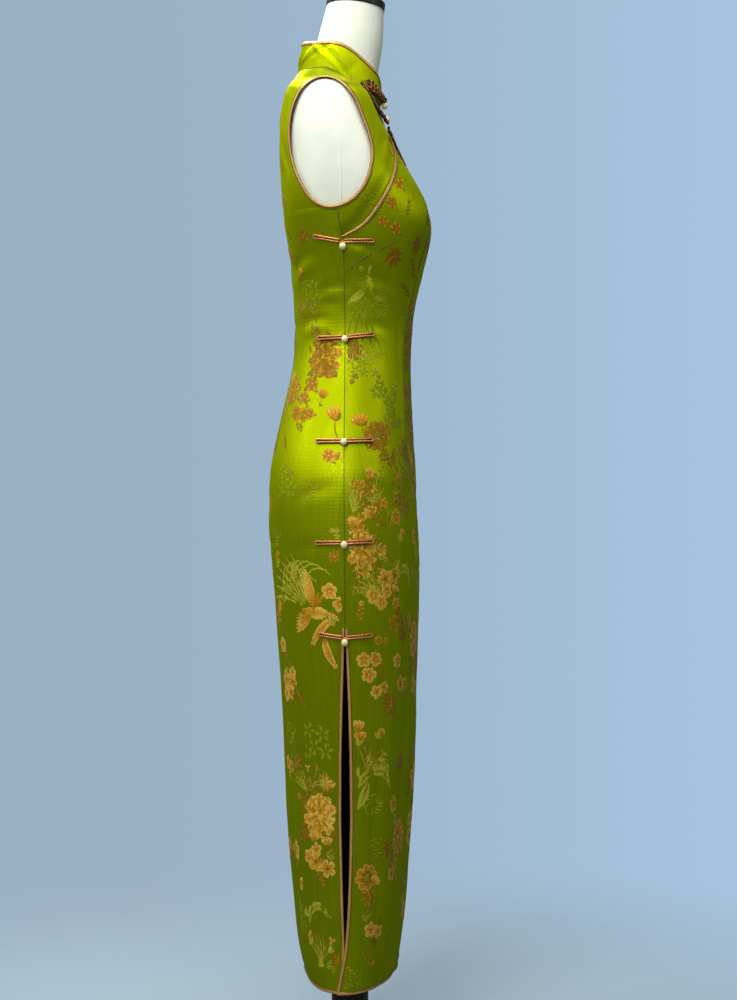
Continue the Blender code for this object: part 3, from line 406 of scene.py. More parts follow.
creases = {
    # (degrees, level, turn from level, length, width, height)
    "right": (
        (-9, 1.1330, 10, 62, 4.5, -1.1), (-8, 1.1235, 13, 52, 4.5, 0.8), (-15, 1.1120, 4, 44, 5.5, -0.9),
        (11, 1.1900, -22, 66, 5.0, -1.5), (12, 1.1800, -19, 58, 6.0, 1.3), (4, 1.2030, -30, 40, 4.0, -0.9),
        (20, 1.1430, -12, 70, 7.0, -1.2), (24, 1.1300, -10, 62, 7.0, 1.0), (-26, 1.0880, 8, 66, 7.0, -1.3),
        (-22, 1.0760, 5, 58, 6.0, 1.1), (22, 1.0800, -8, 52, 6.0, -1.2), (17, 1.0690, -6, 46, 6.0, 1.0),
        (-7, 1.0480, 3, 48, 5.0, -1.0), (6, 1.0250, -4, 56, 7.0, 0.8), (-33, 1.1750, 20, 72, 9.0, -1.4),
        (-30, 1.1600, 22, 60, 8.0, 1.2), (-5, 0.9230, 6, 46, 6.0, -0.8), (9, 0.9050, -14, 60, 8.0, -0.9),
        (14, 0.8650, -20, 70, 9.0, 0.9), (-14, 0.8420, 16, 74, 9.0, -0.9), (-18, 0.7640, 12, 60, 8.0, -0.8),
        (12, 0.7640, -10, 56, 7.0, -0.9), (10, 0.7500, -12, 50, 7.0, 0.8), (-8, 0.6330, 20, 40, 5.0, -1.0),
        (8, 0.6330, -18, 44, 5.0, -1.0), (-4, 0.1820, 74, 52, 4.5, -1.5), (-8, 0.1860, 66, 60, 6.0, 1.3),
        (5, 0.1650, 100, 46, 5.0, 1.2), (29, 1.3120, 62, 52, 8.0, 1.0), (34, 1.3500, 40, 50, 8.0, -1.1),
        (-38, 1.3400, -58, 90, 9.0, -1.3), (-44, 1.3650, -52, 80, 9.0, 1.1),
        (-25, 1.4180, -30, 50, 7.0, -0.9),
    ),
    # hanging folds of the skirt: the same columns
    "skirt": (
        (-47, 0.420, 87, 560, 15, 1.9), (-33, 0.340, 90, 420, 11, -1.7), (-21, 0.470, 92, 380, 12, 1.2),
        (-11, 0.330, 88, 300, 9, -1.2), (12, 0.430, 92, 460, 11, 1.3), (22, 0.330, 90, 400, 10, -1.7),
        (34, 0.450, 88, 520, 14, 1.8), (49, 0.360, 91, 430, 12, -1.8), (63, 0.480, 92, 360, 13, 1.4),
        (79, 0.380, 89, 470, 14, -1.9), (96, 0.430, 91, 540, 15, 1.9), (113, 0.350, 90, 380, 11, -1.4),
        (127, 0.470, 87, 440, 13, 1.5), (144, 0.340, 92, 420, 12, -1.6), (157, 0.440, 90, 480, 12, 1.6),
        (169, 0.350, 89, 330, 9, -1.2), (193, 0.420, 91, 400, 10, 1.3), (205, 0.350, 88, 440, 12, -1.6),
        (218, 0.460, 90, 520, 15, 1.8), (236, 0.360, 92, 400, 12, -1.7), (251, 0.440, 89, 480, 14, 1.6),
        (268, 0.360, 90, 520, 15, -1.9), (284, 0.450, 91, 420, 13, 1.5), (299, 0.380, 88, 460, 12, -1.5),
    ),
}


def mirrorCreases(rows, about, shift, stretch):
    # the same kind of creases on another side: turned round, moved up or down and made longer or shorter
    return [(about - degrees, level + shift * (1 if k % 2 else -0.6), 180 - turn, length * stretch[k % 3],
             width, height * stretch[(k + 1) % 3])
            for k, (degrees, level, turn, length, width, height) in enumerate(rows)]


allCreases = [*creases["right"], *creases["skirt"],
              *mirrorCreases(creases["right"], 180, 0.006, (0.9, 1.15, 0.75)),
              *mirrorCreases(creases["right"][8:24], 86, 0.009, (0.8, 0.65, 1.1)),
              *mirrorCreases(creases["right"][6:24], 274, -0.008, (0.9, 0.7, 1.1))]


# the fitting seams: (degrees, level) down each line, then the ridge's height and reach in millimetres
seamLines = {
    "waistDartFront": (((72, 1.230), (70.5, 1.2168), (66, 1.1546), (57, 1.0960), (51, 1.0580),
                        (48, 0.9752), (43.5, 0.9096), (42, 0.885)), 3.3, 13),
    "hipTurnFront": (((43, 0.905), (38, 0.850), (35, 0.800), (31.5, 0.740), (31.5, 0.620)), 1.3, 14),
    "waistDartBack": (((298, 1.205), (296, 1.15), (300, 1.06), (303, 0.98), (305, 0.90)), 1.1, 14),
    "sideSeam": (((0, 1.19), (0, 1.0), (0, 0.80), (0, 0.66)), 0.9, 12),
}


def ridgeAlong(line, phi, level, tall, reach):
    # a crest that stands on the line and falls away to both sides, fading towards its two ends
    line = np.array(line)[::-1]
    degrees, at = np.radians(line[:, 0]), line[:, 1]
    middle = np.interp(level, at, degrees)
    samples = np.linspace(at[0], at[-1], 40)
    metric = np.linalg.norm(surfaceFrame(np.interp(samples, at, degrees), samples)[1], axis=-1) * 1000
    aside = (np.mod(phi - middle + math.pi, 2 * math.pi) - math.pi) * np.interp(level, samples, metric)
    fade = smoothStep(at[0], at[0] + 0.05, level) * smoothStep(at[-1], at[-1] - 0.05, level)
    crest = np.exp(-np.sqrt(aside**2 + 1.5) / reach)
    return tall * fade * (crest - 0.25 * np.exp(-(aside / (2.2 * reach)) ** 2))


def clothHeight(phi, level):
    # each crease is a bell across its line, fading out along it; a slow swell lies under them all
    phi, level = np.broadcast_arrays(np.asarray(phi, float), np.asarray(level, float))
    height = 0.35 * np.sin(3.1 * phi + 9.7 * level + 0.8) * np.sin(21 * level + 1.9 * np.sin(2 * phi))
    height = height + 0.22 * np.sin(7.3 * phi - 31 * level) * np.sin(4.1 * phi + 43 * level + 0.5)
    for degrees, at, turn, length, width, tall in allCreases:
        centre = math.radians(degrees)
        _, along, up, _ = surfaceFrame(np.array([centre]), np.array([at]))
        aside = (np.mod(phi - centre + math.pi, 2 * math.pi) - math.pi) * np.linalg.norm(along[0]) * 1000
        above = (level - at) * np.linalg.norm(up[0]) * 1000
        c, s = math.cos(math.radians(turn)), math.sin(math.radians(turn))
        run, across = aside * c + above * s, above * c - aside * s
        bow = 0.06 * length * np.cos(math.pi * run / length)  # no crease runs quite straight
        fade = np.clip(1 - (run / (0.62 * length)) ** 2, 0, 1) ** 1.5
        height = height + tall * np.exp(-(((across - bow) / width) ** 2)) * fade * (np.abs(aside) < 400)
    for line, tall, reach in seamLines.values():
        height = height + ridgeAlong(line, phi, level, tall, reach)
        height = height + ridgeAlong([(180 - d, z) for d, z in line], phi, level, tall, reach)
    edge = smoothStep(0, 0.05, body["neck"] - level)  # the neck seam holds it flat
    return height / 1000 * edge


def clothPoint(phi, level, lift):
    return lifted(phi, level, clothHeight(phi, level) + lift)


# Materials

def rampColour(tree, shader, factor, stops):
    colour = setRamp(addNode(tree, "ValToRGB", {"Fac": factor}), stops)
    tree.links.new(colour.outputs[0], shader.inputs["Base Color"])


def addBump(tree, shader, height, strength, depth):
    bump = addNode(tree, "Bump", {"Height": height, "Strength": strength, "Distance": depth})
    tree.links.new(bump.outputs["Normal"], shader.inputs["Normal"])


def wovenBump(tree, shader, uv, across, along, strength, depth, extra=None):
    # a weave as two crossed sine ridges, across and along the cloth, set from the thread spacing in metres
    ridges = []
    for spacing, axis in ((across, "X"), (along, "Y")):
        wave = addNode(tree, "TexWave", {"Vector": uv, "Scale": 1 / (spacing * 6.2832) * 0.99,
                                         "Distortion": 0.6, "Detail": 1.0, "Detail Scale": 2.0},
                       bands_direction=axis)
        ridges.append(wave.outputs["Fac"])
    height = addNode(tree, "Math", {0: ridges[0], 1: ridges[1]}, operation="MULTIPLY").outputs[0]
    if extra is not None:
        height = addNode(tree, "Math", {0: height, 1: extra}, operation="ADD").outputs[0]
    addBump(tree, shader, height, strength, depth)


# silk brocade, woven in satin and pressed: glossy floats, faint lengthways streaks, and a tone-on-tone ground
silk = {"dark": "#9dad00", "light": "#bccd08", "ghost": "#b0bb30", "edge": "#a8b000",
        "roughness": 0.48, "metallic": 0.88, "turned": 0.7, "thread": 0.0016}


def silkMaterial(name):
    material, tree, shader = newMaterial(name, Metallic=silk["metallic"], Specular_IOR_Level=0.2)
    # a dyed filament keeps its colour where the cloth turns away
    shader.inputs["Specular Tint"].default_value = linear(silk["edge"])
    shader.inputs["Anisotropic"].default_value = silk["turned"]
    # the warp floats lie up and down, so the light spreads round the body and falls off fast along it
    floats = addNode(tree, "Tangent", direction_type="UV_MAP", uv_map="cloth")
    tree.links.new(floats.outputs[0], shader.inputs["Tangent"])
    uv = addNode(tree, "UVMap", uv_map="cloth").outputs["UV"]
    # streaks 4 mm wide and 110 mm long
    streakPlace = addNode(tree, "Mapping", {"Vector": uv, "Scale": (260, 9, 1)}).outputs[0]
    streak = addNode(tree, "TexNoise", {"Vector": streakPlace, "Scale": 1.0, "Detail": 3.0}).outputs["Fac"]
    # the ground's tone-on-tone scrolls, some 9 mm apart
    scrollPlace = addNode(tree, "TexNoise", {"Vector": uv, "Scale": 38, "Detail": 1.5}).outputs["Color"]
    warped = addNode(tree, "MixRGB", {"Fac": 0.06, "Color1": uv, "Color2": scrollPlace}).outputs[0]
    scroll = addNode(tree, "TexWave", {"Vector": warped, "Scale": 24, "Distortion": 7, "Detail": 2.0},
                     wave_type="RINGS").outputs["Fac"]
    scrollLine = setRamp(addNode(tree, "ValToRGB", {"Fac": scroll}), ((0.0, "#000000"), (0.62, "#000000"),
                                                                      (0.74, "#ffffff"), (0.86, "#000000")))
    ground = addNode(tree, "MixRGB", {"Fac": streak, "Color1": linear(silk["dark"]),
                                      "Color2": linear(silk["light"])})
    amount = addNode(tree, "Math", {0: scrollLine.outputs[0], 1: 0.34}, operation="MULTIPLY").outputs[0]
    colour = addNode(tree, "MixRGB", {"Fac": amount, "Color1": ground.outputs[0],
                                      "Color2": linear(silk["ghost"])})
    tree.links.new(colour.outputs[0], shader.inputs["Base Color"])
    # the floats lie flatter where the ground's figure is, so it takes the light another way
    rough = addNode(tree, "MapRange", {"Value": scrollLine.outputs[0], "To Min": silk["roughness"],
                                       "To Max": silk["roughness"] - 0.08})
    tree.links.new(rough.outputs[0], shader.inputs["Roughness"])
    # real threads lie 0.12 mm apart, too fine to show, so they are drawn at 1.6 mm
    wovenBump(tree, shader, uv, silk["thread"], silk["thread"] * 1.7, 0.07, 0.0006, streak)
    return material


# rayon embroidery weft of the brocade: its tone runs from pale green through copper to gold
thread = {"stops": ((0.0, "#7a8a04"), (0.12, "#a2a916"), (0.25, "#c5bf40"), (0.38, "#7a6004"),
                    (0.54, "#a8740c"), (0.70, "#cc921e"), (0.86, "#e6ae3e"), (1.0, "#f6d06e")),
          "warp": "#6f7c08", "roughness": 0.5, "metallic": 0.12}


def threadMaterial():
    material, tree, shader = newMaterial("rayonBrocadeThread", Metallic=thread["metallic"],
                                         Roughness=thread["roughness"], Specular_IOR_Level=0.14)
    place = addNode(tree, "TexCoord").outputs["Object"]
    tone = addNode(tree, "Attribute", attribute_name="tone").outputs["Fac"]
    # floats 1 mm wide
    speckPlace = addNode(tree, "Mapping", {"Vector": place, "Scale": (900, 900, 350)}).outputs[0]
    speck = addNode(tree, "TexNoise", {"Vector": speckPlace, "Scale": 1.0, "Detail": 1.0}).outputs["Fac"]
    shift = addNode(tree, "MapRange", {"Value": speck, "To Min": -0.14, "To Max": 0.14}).outputs[0]
    varied = addNode(tree, "Math", {0: tone, 1: shift}, operation="ADD").outputs[0]
    colour = setRamp(addNode(tree, "ValToRGB", {"Fac": varied}), thread["stops"])
    # the green warp shows between the floats in patches some 3 mm wide
    warp = addNode(tree, "TexNoise", {"Vector": place, "Scale": 330, "Detail": 2.0}).outputs["Fac"]
    through = addNode(tree, "MapRange", {"Value": warp, "From Min": 0.5, "From Max": 0.8, "To Min": 0.0,
                                         "To Max": 0.75}).outputs[0]
    mixed = addNode(tree, "MixRGB", {"Fac": through, "Color1": colour.outputs[0],
                                     "Color2": linear(thread["warp"])})
    tree.links.new(mixed.outputs[0], shader.inputs["Base Color"])
    addBump(tree, shader, speck, 0.35, 0.0004)
    return material


# bias-cut polyester satin: smooth, with a painted highlight along its curve and fine slanting threads
satin = {"dark": "#4e240b", "light": "#e0ac68", "roughness": 0.38, "metallic": 0.35, "fold": 0.0048}


def satinMaterial(name, dark, light):
    material, tree, shader = newMaterial(name, Roughness=satin["roughness"], Metallic=satin["metallic"])
    uv = addNode(tree, "UVMap", uv_map="cloth").outputs["UV"]
    slant = addNode(tree, "Mapping", {"Vector": uv, "Rotation": (0, 0, math.radians(45))}).outputs[0]
    # the bias threads are drawn 1.1 mm apart, coarser than the real 0.15 mm, so that they show
    twill = addNode(tree, "TexWave", {"Vector": slant, "Scale": 1 / (0.0011 * 6.2832), "Distortion": 0.8},
                    bands_direction="X").outputs["Fac"]
    patch = addNode(tree, "TexNoise", {"Vector": uv, "Scale": 60, "Detail": 2.0}).outputs["Fac"]
    mixed = addNode(tree, "Math", {0: twill, 1: patch}, operation="MULTIPLY").outputs[0]
    # painted highlight and shade: the colour is lightest along the fold's crown and darker where it is sewn
    # down, a sine of the way round it
    v = addNode(tree, "SeparateXYZ", {0: uv}).outputs["Y"]
    way = addNode(tree, "Math", {0: v, 1: math.pi / satin["fold"]}, operation="MULTIPLY").outputs[0]
    crown = addNode(tree, "Math", {0: way}, operation="SINE").outputs[0]
    paintedCrownHighlight = addNode(tree, "MapRange", {"Value": crown, "From Min": 0.35, "From Max": 1.0, "To Min": -0.25,
                                     "To Max": 0.6}).outputs[0]
    total = addNode(tree, "Math", {0: mixed, 1: paintedCrownHighlight}, operation="ADD").outputs[0]
    rampColour(tree, shader, total, ((0.05, dark), (0.8, light)))
    addBump(tree, shader, twill, 0.2, 0.0003)
    return material


def pearlMaterial():
    # imitation pearl: a lacquered bead, creamy under a clear glossy coat, with a faint swirl
    material, tree, shader = newMaterial("imitationPearl", Roughness=0.24, Coat_Weight=0.7,
                                         Coat_Roughness=0.08)
    shader.inputs["Subsurface Weight"].default_value = 0.08
    shader.inputs["Subsurface Radius"].default_value = (0.003, 0.002, 0.001)
    place = addNode(tree, "TexCoord").outputs["Object"]
    swirl = addNode(tree, "TexNoise", {"Vector": place, "Scale": 190, "Distortion": 1.5}).outputs["Fac"]
    rampColour(tree, shader, swirl, ((0.3, "#efdea0"), (0.7, "#fff5cc")))
    return material


def jerseyMaterial():
    # cotton jersey over a padded form: matt white, with knitted ribs drawn 1.5 mm apart so that they show
    material, tree, shader = newMaterial("cottonJersey", Roughness=0.82, Sheen_Weight=0.15)
    place = addNode(tree, "TexCoord").outputs["Object"]
    mottle = addNode(tree, "TexNoise", {"Vector": place, "Scale": 14, "Detail": 3.0}).outputs["Fac"]
    rampColour(tree, shader, mottle, ((0.3, "#e4ede6"), (0.7, "#f8fef9")))
    rib = addNode(tree, "TexWave", {"Vector": place, "Scale": 1 / (0.0015 * 6.2832), "Distortion": 0.5},
                  bands_direction="Y").outputs["Fac"]
    addBump(tree, shader, rib, 0.12, 0.0003)
    return material


def steelMaterial():
    # powder-coated steel: near black, with a fine orange peel and lighter rubbed patches
    material, tree, shader = newMaterial("powderCoatedSteel", Metallic=0.2)
    place = addNode(tree, "TexCoord").outputs["Object"]
    peel = addNode(tree, "TexNoise", {"Vector": place, "Scale": 520, "Detail": 2.0}).outputs["Fac"]
    worn = addNode(tree, "TexNoise", {"Vector": place, "Scale": 17, "Detail": 5.0}).outputs["Fac"]
    rampColour(tree, shader, worn, ((0.35, "#14151b"), (0.75, "#23252e")))
    rough = addNode(tree, "MapRange", {"Value": worn, "To Min": 0.32, "To Max": 0.5}).outputs[0]
    tree.links.new(rough, shader.inputs["Roughness"])
    addBump(tree, shader, peel, 0.12, 0.0003)
    return material


silkSatin, brocadeThread = silkMaterial("silkBrocade"), threadMaterial()
bindingSatin = satinMaterial("copperSatin", satin["dark"], satin["light"])
cordSatin = satinMaterial("copperSatinCord", "#6a340f", "#d69250")
knotSatin = satinMaterial("brownSatinKnots", "#3a1806", "#a5683a")
pearl, jersey, steel = pearlMaterial(), jerseyMaterial(), steelMaterial()
# painted shade: a dark olive for the thin strips that stand for the shade in the seam grooves and beside the
# bindings
seamShadeMaterial, _, _ = newMaterial("paintedSeamShade", Roughness=0.6)
seamShadeMaterial.node_tree.nodes["Principled BSDF"].inputs["Base Color"].default_value = linear("#4c5210")
print("materials made")


# Cloth panels

panel = {"columns": 104, "flapColumns": 56, "skirtRows": 150, "underArmRows": 8, "armRows": 64,
         "shoulderRows": 16}


def panelLevels():
    # even rows, closer ones where the armhole turns
    lower = np.linspace(body["hem"] + tuck, openingLow, panel["skirtRows"])
    lower = np.concatenate([lower, body["slitTop"] + np.array([-0.001, 0.0, 0.001])])
    underArm = np.linspace(openingLow, armLow, panel["underArmRows"])[1:]
    turns = np.linspace(0, math.pi, panel["armRows"])[1:]
    arm = (armLow + armHigh) / 2 - np.cos(turns) * (armHigh - armLow) / 2
    shoulder = np.linspace(armHigh, body["neck"] - 0.0002, panel["shoulderRows"])[1:]
    return np.concatenate([np.sort(lower), underArm, arm, shoulder])


def clothWall(name, outer, inner, uv, material):
    # two grids of points, rows up and columns round, closed by a rim
    rows, columns = outer.shape[:2]
    count = rows * columns
    index = np.arange(count).reshape(rows, columns)
    face = gridQuads(rows, columns)
    rim = np.concatenate([index[0, :], index[1:, -1], index[-1, -2::-1], index[-2:0:-1, 0]])
    after = np.roll(rim, -1)
    edge = np.stack([rim, rim + count, after + count, after], axis=-1)
    points = np.concatenate([outer.reshape(-1, 3), inner.reshape(-1, 3)])
    quads = np.concatenate([face, face[:, ::-1] + count, edge])
    obj = addMesh(name, points, quads, material, uv=np.concatenate([uv.reshape(-1, 2)] * 2), sharp=60)
    sides = points[face]
    a, b = sides[:, 2] - sides[:, 0], sides[:, 3] - sides[:, 1]
    area = float(np.linalg.norm(np.cross(a, b), axis=1).sum() / 2)
    return obj, area


def clothUV(point, level):
    # metres round from the row's middle, and the height of its level
    run = runAlong(point)
    run = run - run[:, run.shape[1] // 2][:, None]
    return np.stack([run, np.broadcast_to(level, run.shape)], axis=-1)


def panelGrid(levels, start, end, part):
    phis = rowPhis(start, end, levels, panel["columns"])
    low = levels < body["slitTop"] + 0.0006
    cloth = seamPhi(levels[low], slitEdges(levels[low], part)[1])
    base = 0 if part > 0 else math.pi
    phis[low] = rowPhis(base + cloth, base + math.pi - cloth, levels[low], panel["columns"])
    return phis


def tellSheet(obj, area):
    print(f"{obj.name}: {area:.4f} square metres")


def hangPanel(name, node, phi, rows, drop=None):
    # one cut piece of cloth, sunk by its drop where it lies beneath another
    level = rows[:, None] + 0 * phi
    deep = drop(phi, level) if drop else 0
    outer, inner = clothPoint(phi, level, -deep), clothPoint(phi, level, -deep - body["cloth"])
    piece, area = clothWall(name, outer, inner, clothUV(outer, level), silkSatin)
    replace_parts(piece, node)
    return piece, area


def flapDrop(phi, level):
    # the under flap lies deeper beside and beneath the front's edge
    edge = np.where(level > openingLow, np.interp(level, opening[1], opening[0]), 0.0)
    clear = (edge - phi) * ringCurve["halfWidth"](level)
    deep = body["flapDropLow"] + (body["flapDrop"] - body["flapDropLow"]) * smoothStep(1.25, 1.31, level)
    return deep * (1 - smoothStep(0.006, 0.027, clear))


levels = panelLevels()
frontPhi = panelGrid(levels, openingEdge(levels), math.pi - armEdge(levels, 1), 1)
frontPanel, frontArea = hangPanel("front_panel_cloth", "front_panel", frontPhi, levels)
backPhi = panelGrid(levels, math.pi + armEdge(levels, -1), 2 * math.pi - armEdge(levels, -1), -1)
backPanel, backArea = hangPanel("back_panel_cloth", "back_panel", backPhi, levels, lapDrop)
flapLevels = levels[levels > openingLow - 0.010]
flapEnd = openingEdge(flapLevels) + body["flapReach"] / ringCurve["halfWidth"](flapLevels)
flapEnd = np.minimum(flapEnd, math.pi / 2 + 0.25)
flapPhi = rowPhis(armEdge(flapLevels, 1), flapEnd, flapLevels, panel["flapColumns"])
flapPanel, flapArea = hangPanel("under_flap_cloth", "under_flap", flapPhi, flapLevels, flapDrop)
print("panels hung")


# Bindings: folded bias strips that wrap every cut edge

binding = {"rise": 0.0011, "points": 14}


def bind(name, node, point, normal, inward, under=-body["cloth"], closed=False, wider=1):
    # a flat oval section carried along the edge; inward points into the cloth
    turn = np.linspace(0, 2 * math.pi, binding["points"], endpoint=False)
    width, top = satin["fold"] * wider, binding["rise"]
    across = width / 2 * (1 - np.cos(turn))
    middle, half = (top + under) / 2, (top - under) / 2
    height = middle + half * np.sign(np.sin(turn)) * np.abs(np.sin(turn)) ** 0.7
    sections = point[:, None] + inward[:, None] * across[None, :, None]
    sections = sections + normal[:, None] * height[None, :, None]
    # v runs round the section over twice the standard fold at any width, so the painted crown highlight sits
    # along the middle of the top face
    around = np.linspace(0, 2 * satin["fold"], binding["points"])
    uv = np.stack(np.broadcast_arrays(runAlong(point)[:, None], around[None, :]), axis=-1)
    quads, ends = tubeFaces(sections, 0, normal[0], step=3, closed=closed)
    obj = addMesh(name, sections, quads, bindingSatin, uv=uv, ends=ends, sharp=50)
    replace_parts(obj, node)
    return obj


armPoint, armNormal, armRight = curveFrame(*armhole, closed=True)
armPoint = armPoint + armNormal * clothHeight(*armhole)[:, None]
flip = np.array([-1, 1, 1])  # mirrors the right side to the left
bindRight = bind("armhole_binding_right_satin", "armhole_binding_right", armPoint, armNormal, armRight,
                 closed=True)
bindLeft = bind("armhole_binding_left_satin", "armhole_binding_left", armPoint * flip, armNormal * flip,
                armRight * flip, closed=True)


def bindPlacket():
    # its lower end is cut along the side seam and its upper end along the neck seam
    point, normal, right = curveFrame(*opening)
    first = int(np.argmax(opening[0] > 0.001))
    last = len(opening[0]) - 4
    point, normal, right = (values[first:last].copy() for values in (point, normal, right))
    point = point + normal * clothHeight(opening[0][first:last], opening[1][first:last])[:, None]
    foot = bodySurface(np.array([0.001]), np.array([openingLow + 0.0006]))[0]
    blend = smoothStep(6, 0, np.arange(len(point)))[:, None]
    right = right * (1 - blend) + blend * (foot - point) / body["bindWidth"] * (blend > 0)
    return bind("placket_binding_satin", "placket_binding", point, normal, right)


def bindHem(name, node, part):
    # down one slit edge, along the hem and up the other, with mitred corners
    slit = np.linspace(body["slitTop"], body["hem"], 90)
    inset = body["bindWidth"] + body["gap"]
    edge, cloth = (seamPhi(slit, distance) for distance in slitEdges(slit, part, inset))
    base = 0 if part > 0 else math.pi
    ends = (np.array([value]) for value in (base + edge[-1], base + math.pi - edge[-1], body["hem"]))
    hem = rowPhis(*ends, 96)[0]
    joined = lambda side: np.concatenate([base + side, hem[1:-1], base + math.pi - side[::-1]])
    phi, innerPhi = joined(edge), joined(cloth)
    level = np.concatenate([slit, np.full(len(hem) - 2, body["hem"]), slit[::-1]])
    innerLevel = level + np.where(level == body["hem"], inset, 0)
    behind = 1 if part < 0 else 0
    height, innerHeight = (clothHeight(p, v) for p, v in ((phi, level), (innerPhi, innerLevel)))
    point = lifted(phi, level, height - behind * lapDrop(phi, level))
    inner = lifted(innerPhi, innerLevel, innerHeight - behind * lapDrop(innerPhi, innerLevel))
    return bind(name, node, point, surfaceFrame(phi, level)[3], (inner - point) / inset)


bindPlacketPiece = bindPlacket()
bindFrontHem = bindHem("front_hem_binding_satin", "front_hem_binding", 1)
bindBackHem = bindHem("back_hem_binding_satin", "back_hem_binding", -1)


# Stand collar

collar = {
    "top": {"sideZ": 1.508, "frontZ": 1.467, "backZ": 1.518, "halfWidth": 0.0545, "sideY": 0.0300,
            "frontY": -0.0455, "backY": 0.0705, "frontSquare": 2.0, "backSquare": 2.0},
    "dip": 2.8, "thick": 0.0018, "opening": 0.0016, "corner": 0.024, "bow": 0.0012,
    "creases": (  # degrees, lean, width in radians, height in millimetres
        (-62, 0.6, 0.09, 1.9), (-47, 0.9, 0.07, -1.8), (-33, 1.0, 0.08, 2.1), (-17, 1.1, 0.07, -2.2),
        (-3, -0.8, 0.08, 2.1), (10, -0.9, 0.07, -2.0), (24, -0.6, 0.07, 1.5), (40, 0.5, 0.09, -1.1),
        (140, -0.6, 0.09, -1.0), (158, 0.8, 0.08, 1.2), (176, 0.9, 0.08, -1.0), (193, -0.8, 0.09, 1.1),
        (211, -0.9, 0.10, -0.9), (232, 0.7, 0.11, 0.8), (262, -0.5, 0.10, -0.7),
    ),
}


def collarFace(phi, height):
    # straight from the neck seam (height 0) to the top ring (1), with a slight outward curve
    phi, height = np.broadcast_arrays(np.asarray(phi, float), np.asarray(height, float))
    low = bodySurface(phi, body["neck"])
    high = ringPoint(phi, dip=collar["dip"], **collar["top"])
    outward = unit(((low + high) / 2 - np.array([0, 0.015, 0])) * np.array([1, 1, 0]))
    bow = collar["bow"] * np.sin(math.pi * height)
    held = np.sin(math.pi * np.clip(height, 0, 1)) ** 0.7  # the seam and the binding hold the creases flat
    for degrees, lean, width, tall in collar["creases"]:
        off = np.mod(phi - math.radians(degrees) + math.pi, 2 * math.pi) - math.pi - lean * (height - 0.5)
        bow = bow + tall / 1000 * np.exp(-((off / width) ** 2)) * held
    return low + (high - low) * height[..., None] + outward * bow[..., None]


collarTurn = np.linspace(math.pi / 2, 3 * math.pi / 2, 400)
collarRun = runAlong(collarFace(collarTurn, 0.5))


def collarPoint(run, rise):
    # by the distance along from the front middle, negative on the right side, and the height above the seam
    run, rise = np.broadcast_arrays(np.asarray(run, float), np.asarray(rise, float))
    turn = np.interp(np.abs(run), collarRun, collarTurn) - math.pi / 2
    phi = math.pi / 2 + np.where(run < 0, -turn, turn)
    tall = np.linalg.norm(collarFace(phi, 1) - collarFace(phi, 0), axis=-1)
    height, small = rise / tall, 1e-3
    along = collarFace(phi + small, height) - collarFace(phi - small, height)
    up = collarFace(phi, height + small) - collarFace(phi, height - small)
    return collarFace(phi, height), unit(np.cross(along, up))


def collarTall(run):
    phi = np.interp(np.abs(run), collarRun, collarTurn)
    return np.linalg.norm(collarFace(phi, 1) - collarFace(phi, 0), axis=-1)


def buildCollar():
    inset = body["bindWidth"] + body["gap"]
    middle = collar["opening"] + collar["corner"]
    turns = np.linspace(0, math.pi / 2, 22)
    top = collarTall(middle)
    farRun = np.linspace(middle, collarRun[-1], 80)[1:]

    def outline(back):
        # half the collar's upper edge, drawn back from the outer edge by a distance
        run = np.concatenate([middle - (collar["corner"] - back) * np.cos(turns), farRun])
        rise = np.concatenate([top - collar["corner"] + (collar["corner"] - back) * np.sin(turns),
                               collarTall(farRun) - back])
        return run, rise

    mirrored = lambda run, rise: (np.concatenate([run, -run[-2::-1]]), np.concatenate([rise, rise[-2::-1]]))
    run, rise = mirrored(*outline(0.0034))
    share = np.linspace(0, 1, 15)[:, None]
    rise = 0.0001 + (rise[None, :] - 0.0001) * share
    point, normal = collarPoint(run[None, :] + 0 * share, rise)
    uv = np.stack([run[None, :] + 0 * share, rise + 2.0], axis=-1)
    wall, area = clothWall("collar_cloth", point, point - normal * collar["thick"], uv, silkSatin)
    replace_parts(wall, "collar")
    start = lambda values, first: np.concatenate([[first], values])
    edgeRun, edgeRise = outline(0)
    innerRun, innerRise = outline(inset)
    point, normal = collarPoint(*mirrored(start(edgeRun, collar["opening"]), start(edgeRise, 0.0003)))
    inner, _ = collarPoint(*mirrored(start(innerRun, collar["opening"] + inset), start(innerRise, 0.0003)))
    edge = bind("collar_binding_satin", "collar_binding", point, normal, (inner - point) / inset,
                under=-collar["thick"], wider=1.3)
    return wall, area, edge


collarPiece, collarArea, bindCollar = buildCollar()
print("collar and bindings made")


# Frogs of doubled cord, and beads

cord = {"radius": 0.0017, "clear": 0.0007, "flare": 0.0006, "sides": 10, "slim": 0.0019}
bead = {"wide": 0.0048, "tall": 0.0054, "clear": 0.0006}
sideFrogs = (  # height of the bar, half lengths back and front, how far each end is lifted, the bead's drop
    (1.2000, 0.041, 0.043, 0.0085, 0.0010, 0.0070),
    (1.0650, 0.041, 0.042, -0.0005, 0.0050, 0.0035),
    (0.9155, 0.040, 0.041, 0.0000, 0.0020, 0.0025),
    (0.7735, 0.041, 0.041, -0.0005, 0.0020, 0.0030),
    (0.6410, 0.037, 0.038, 0.0045, 0.0035, 0.0065),
)


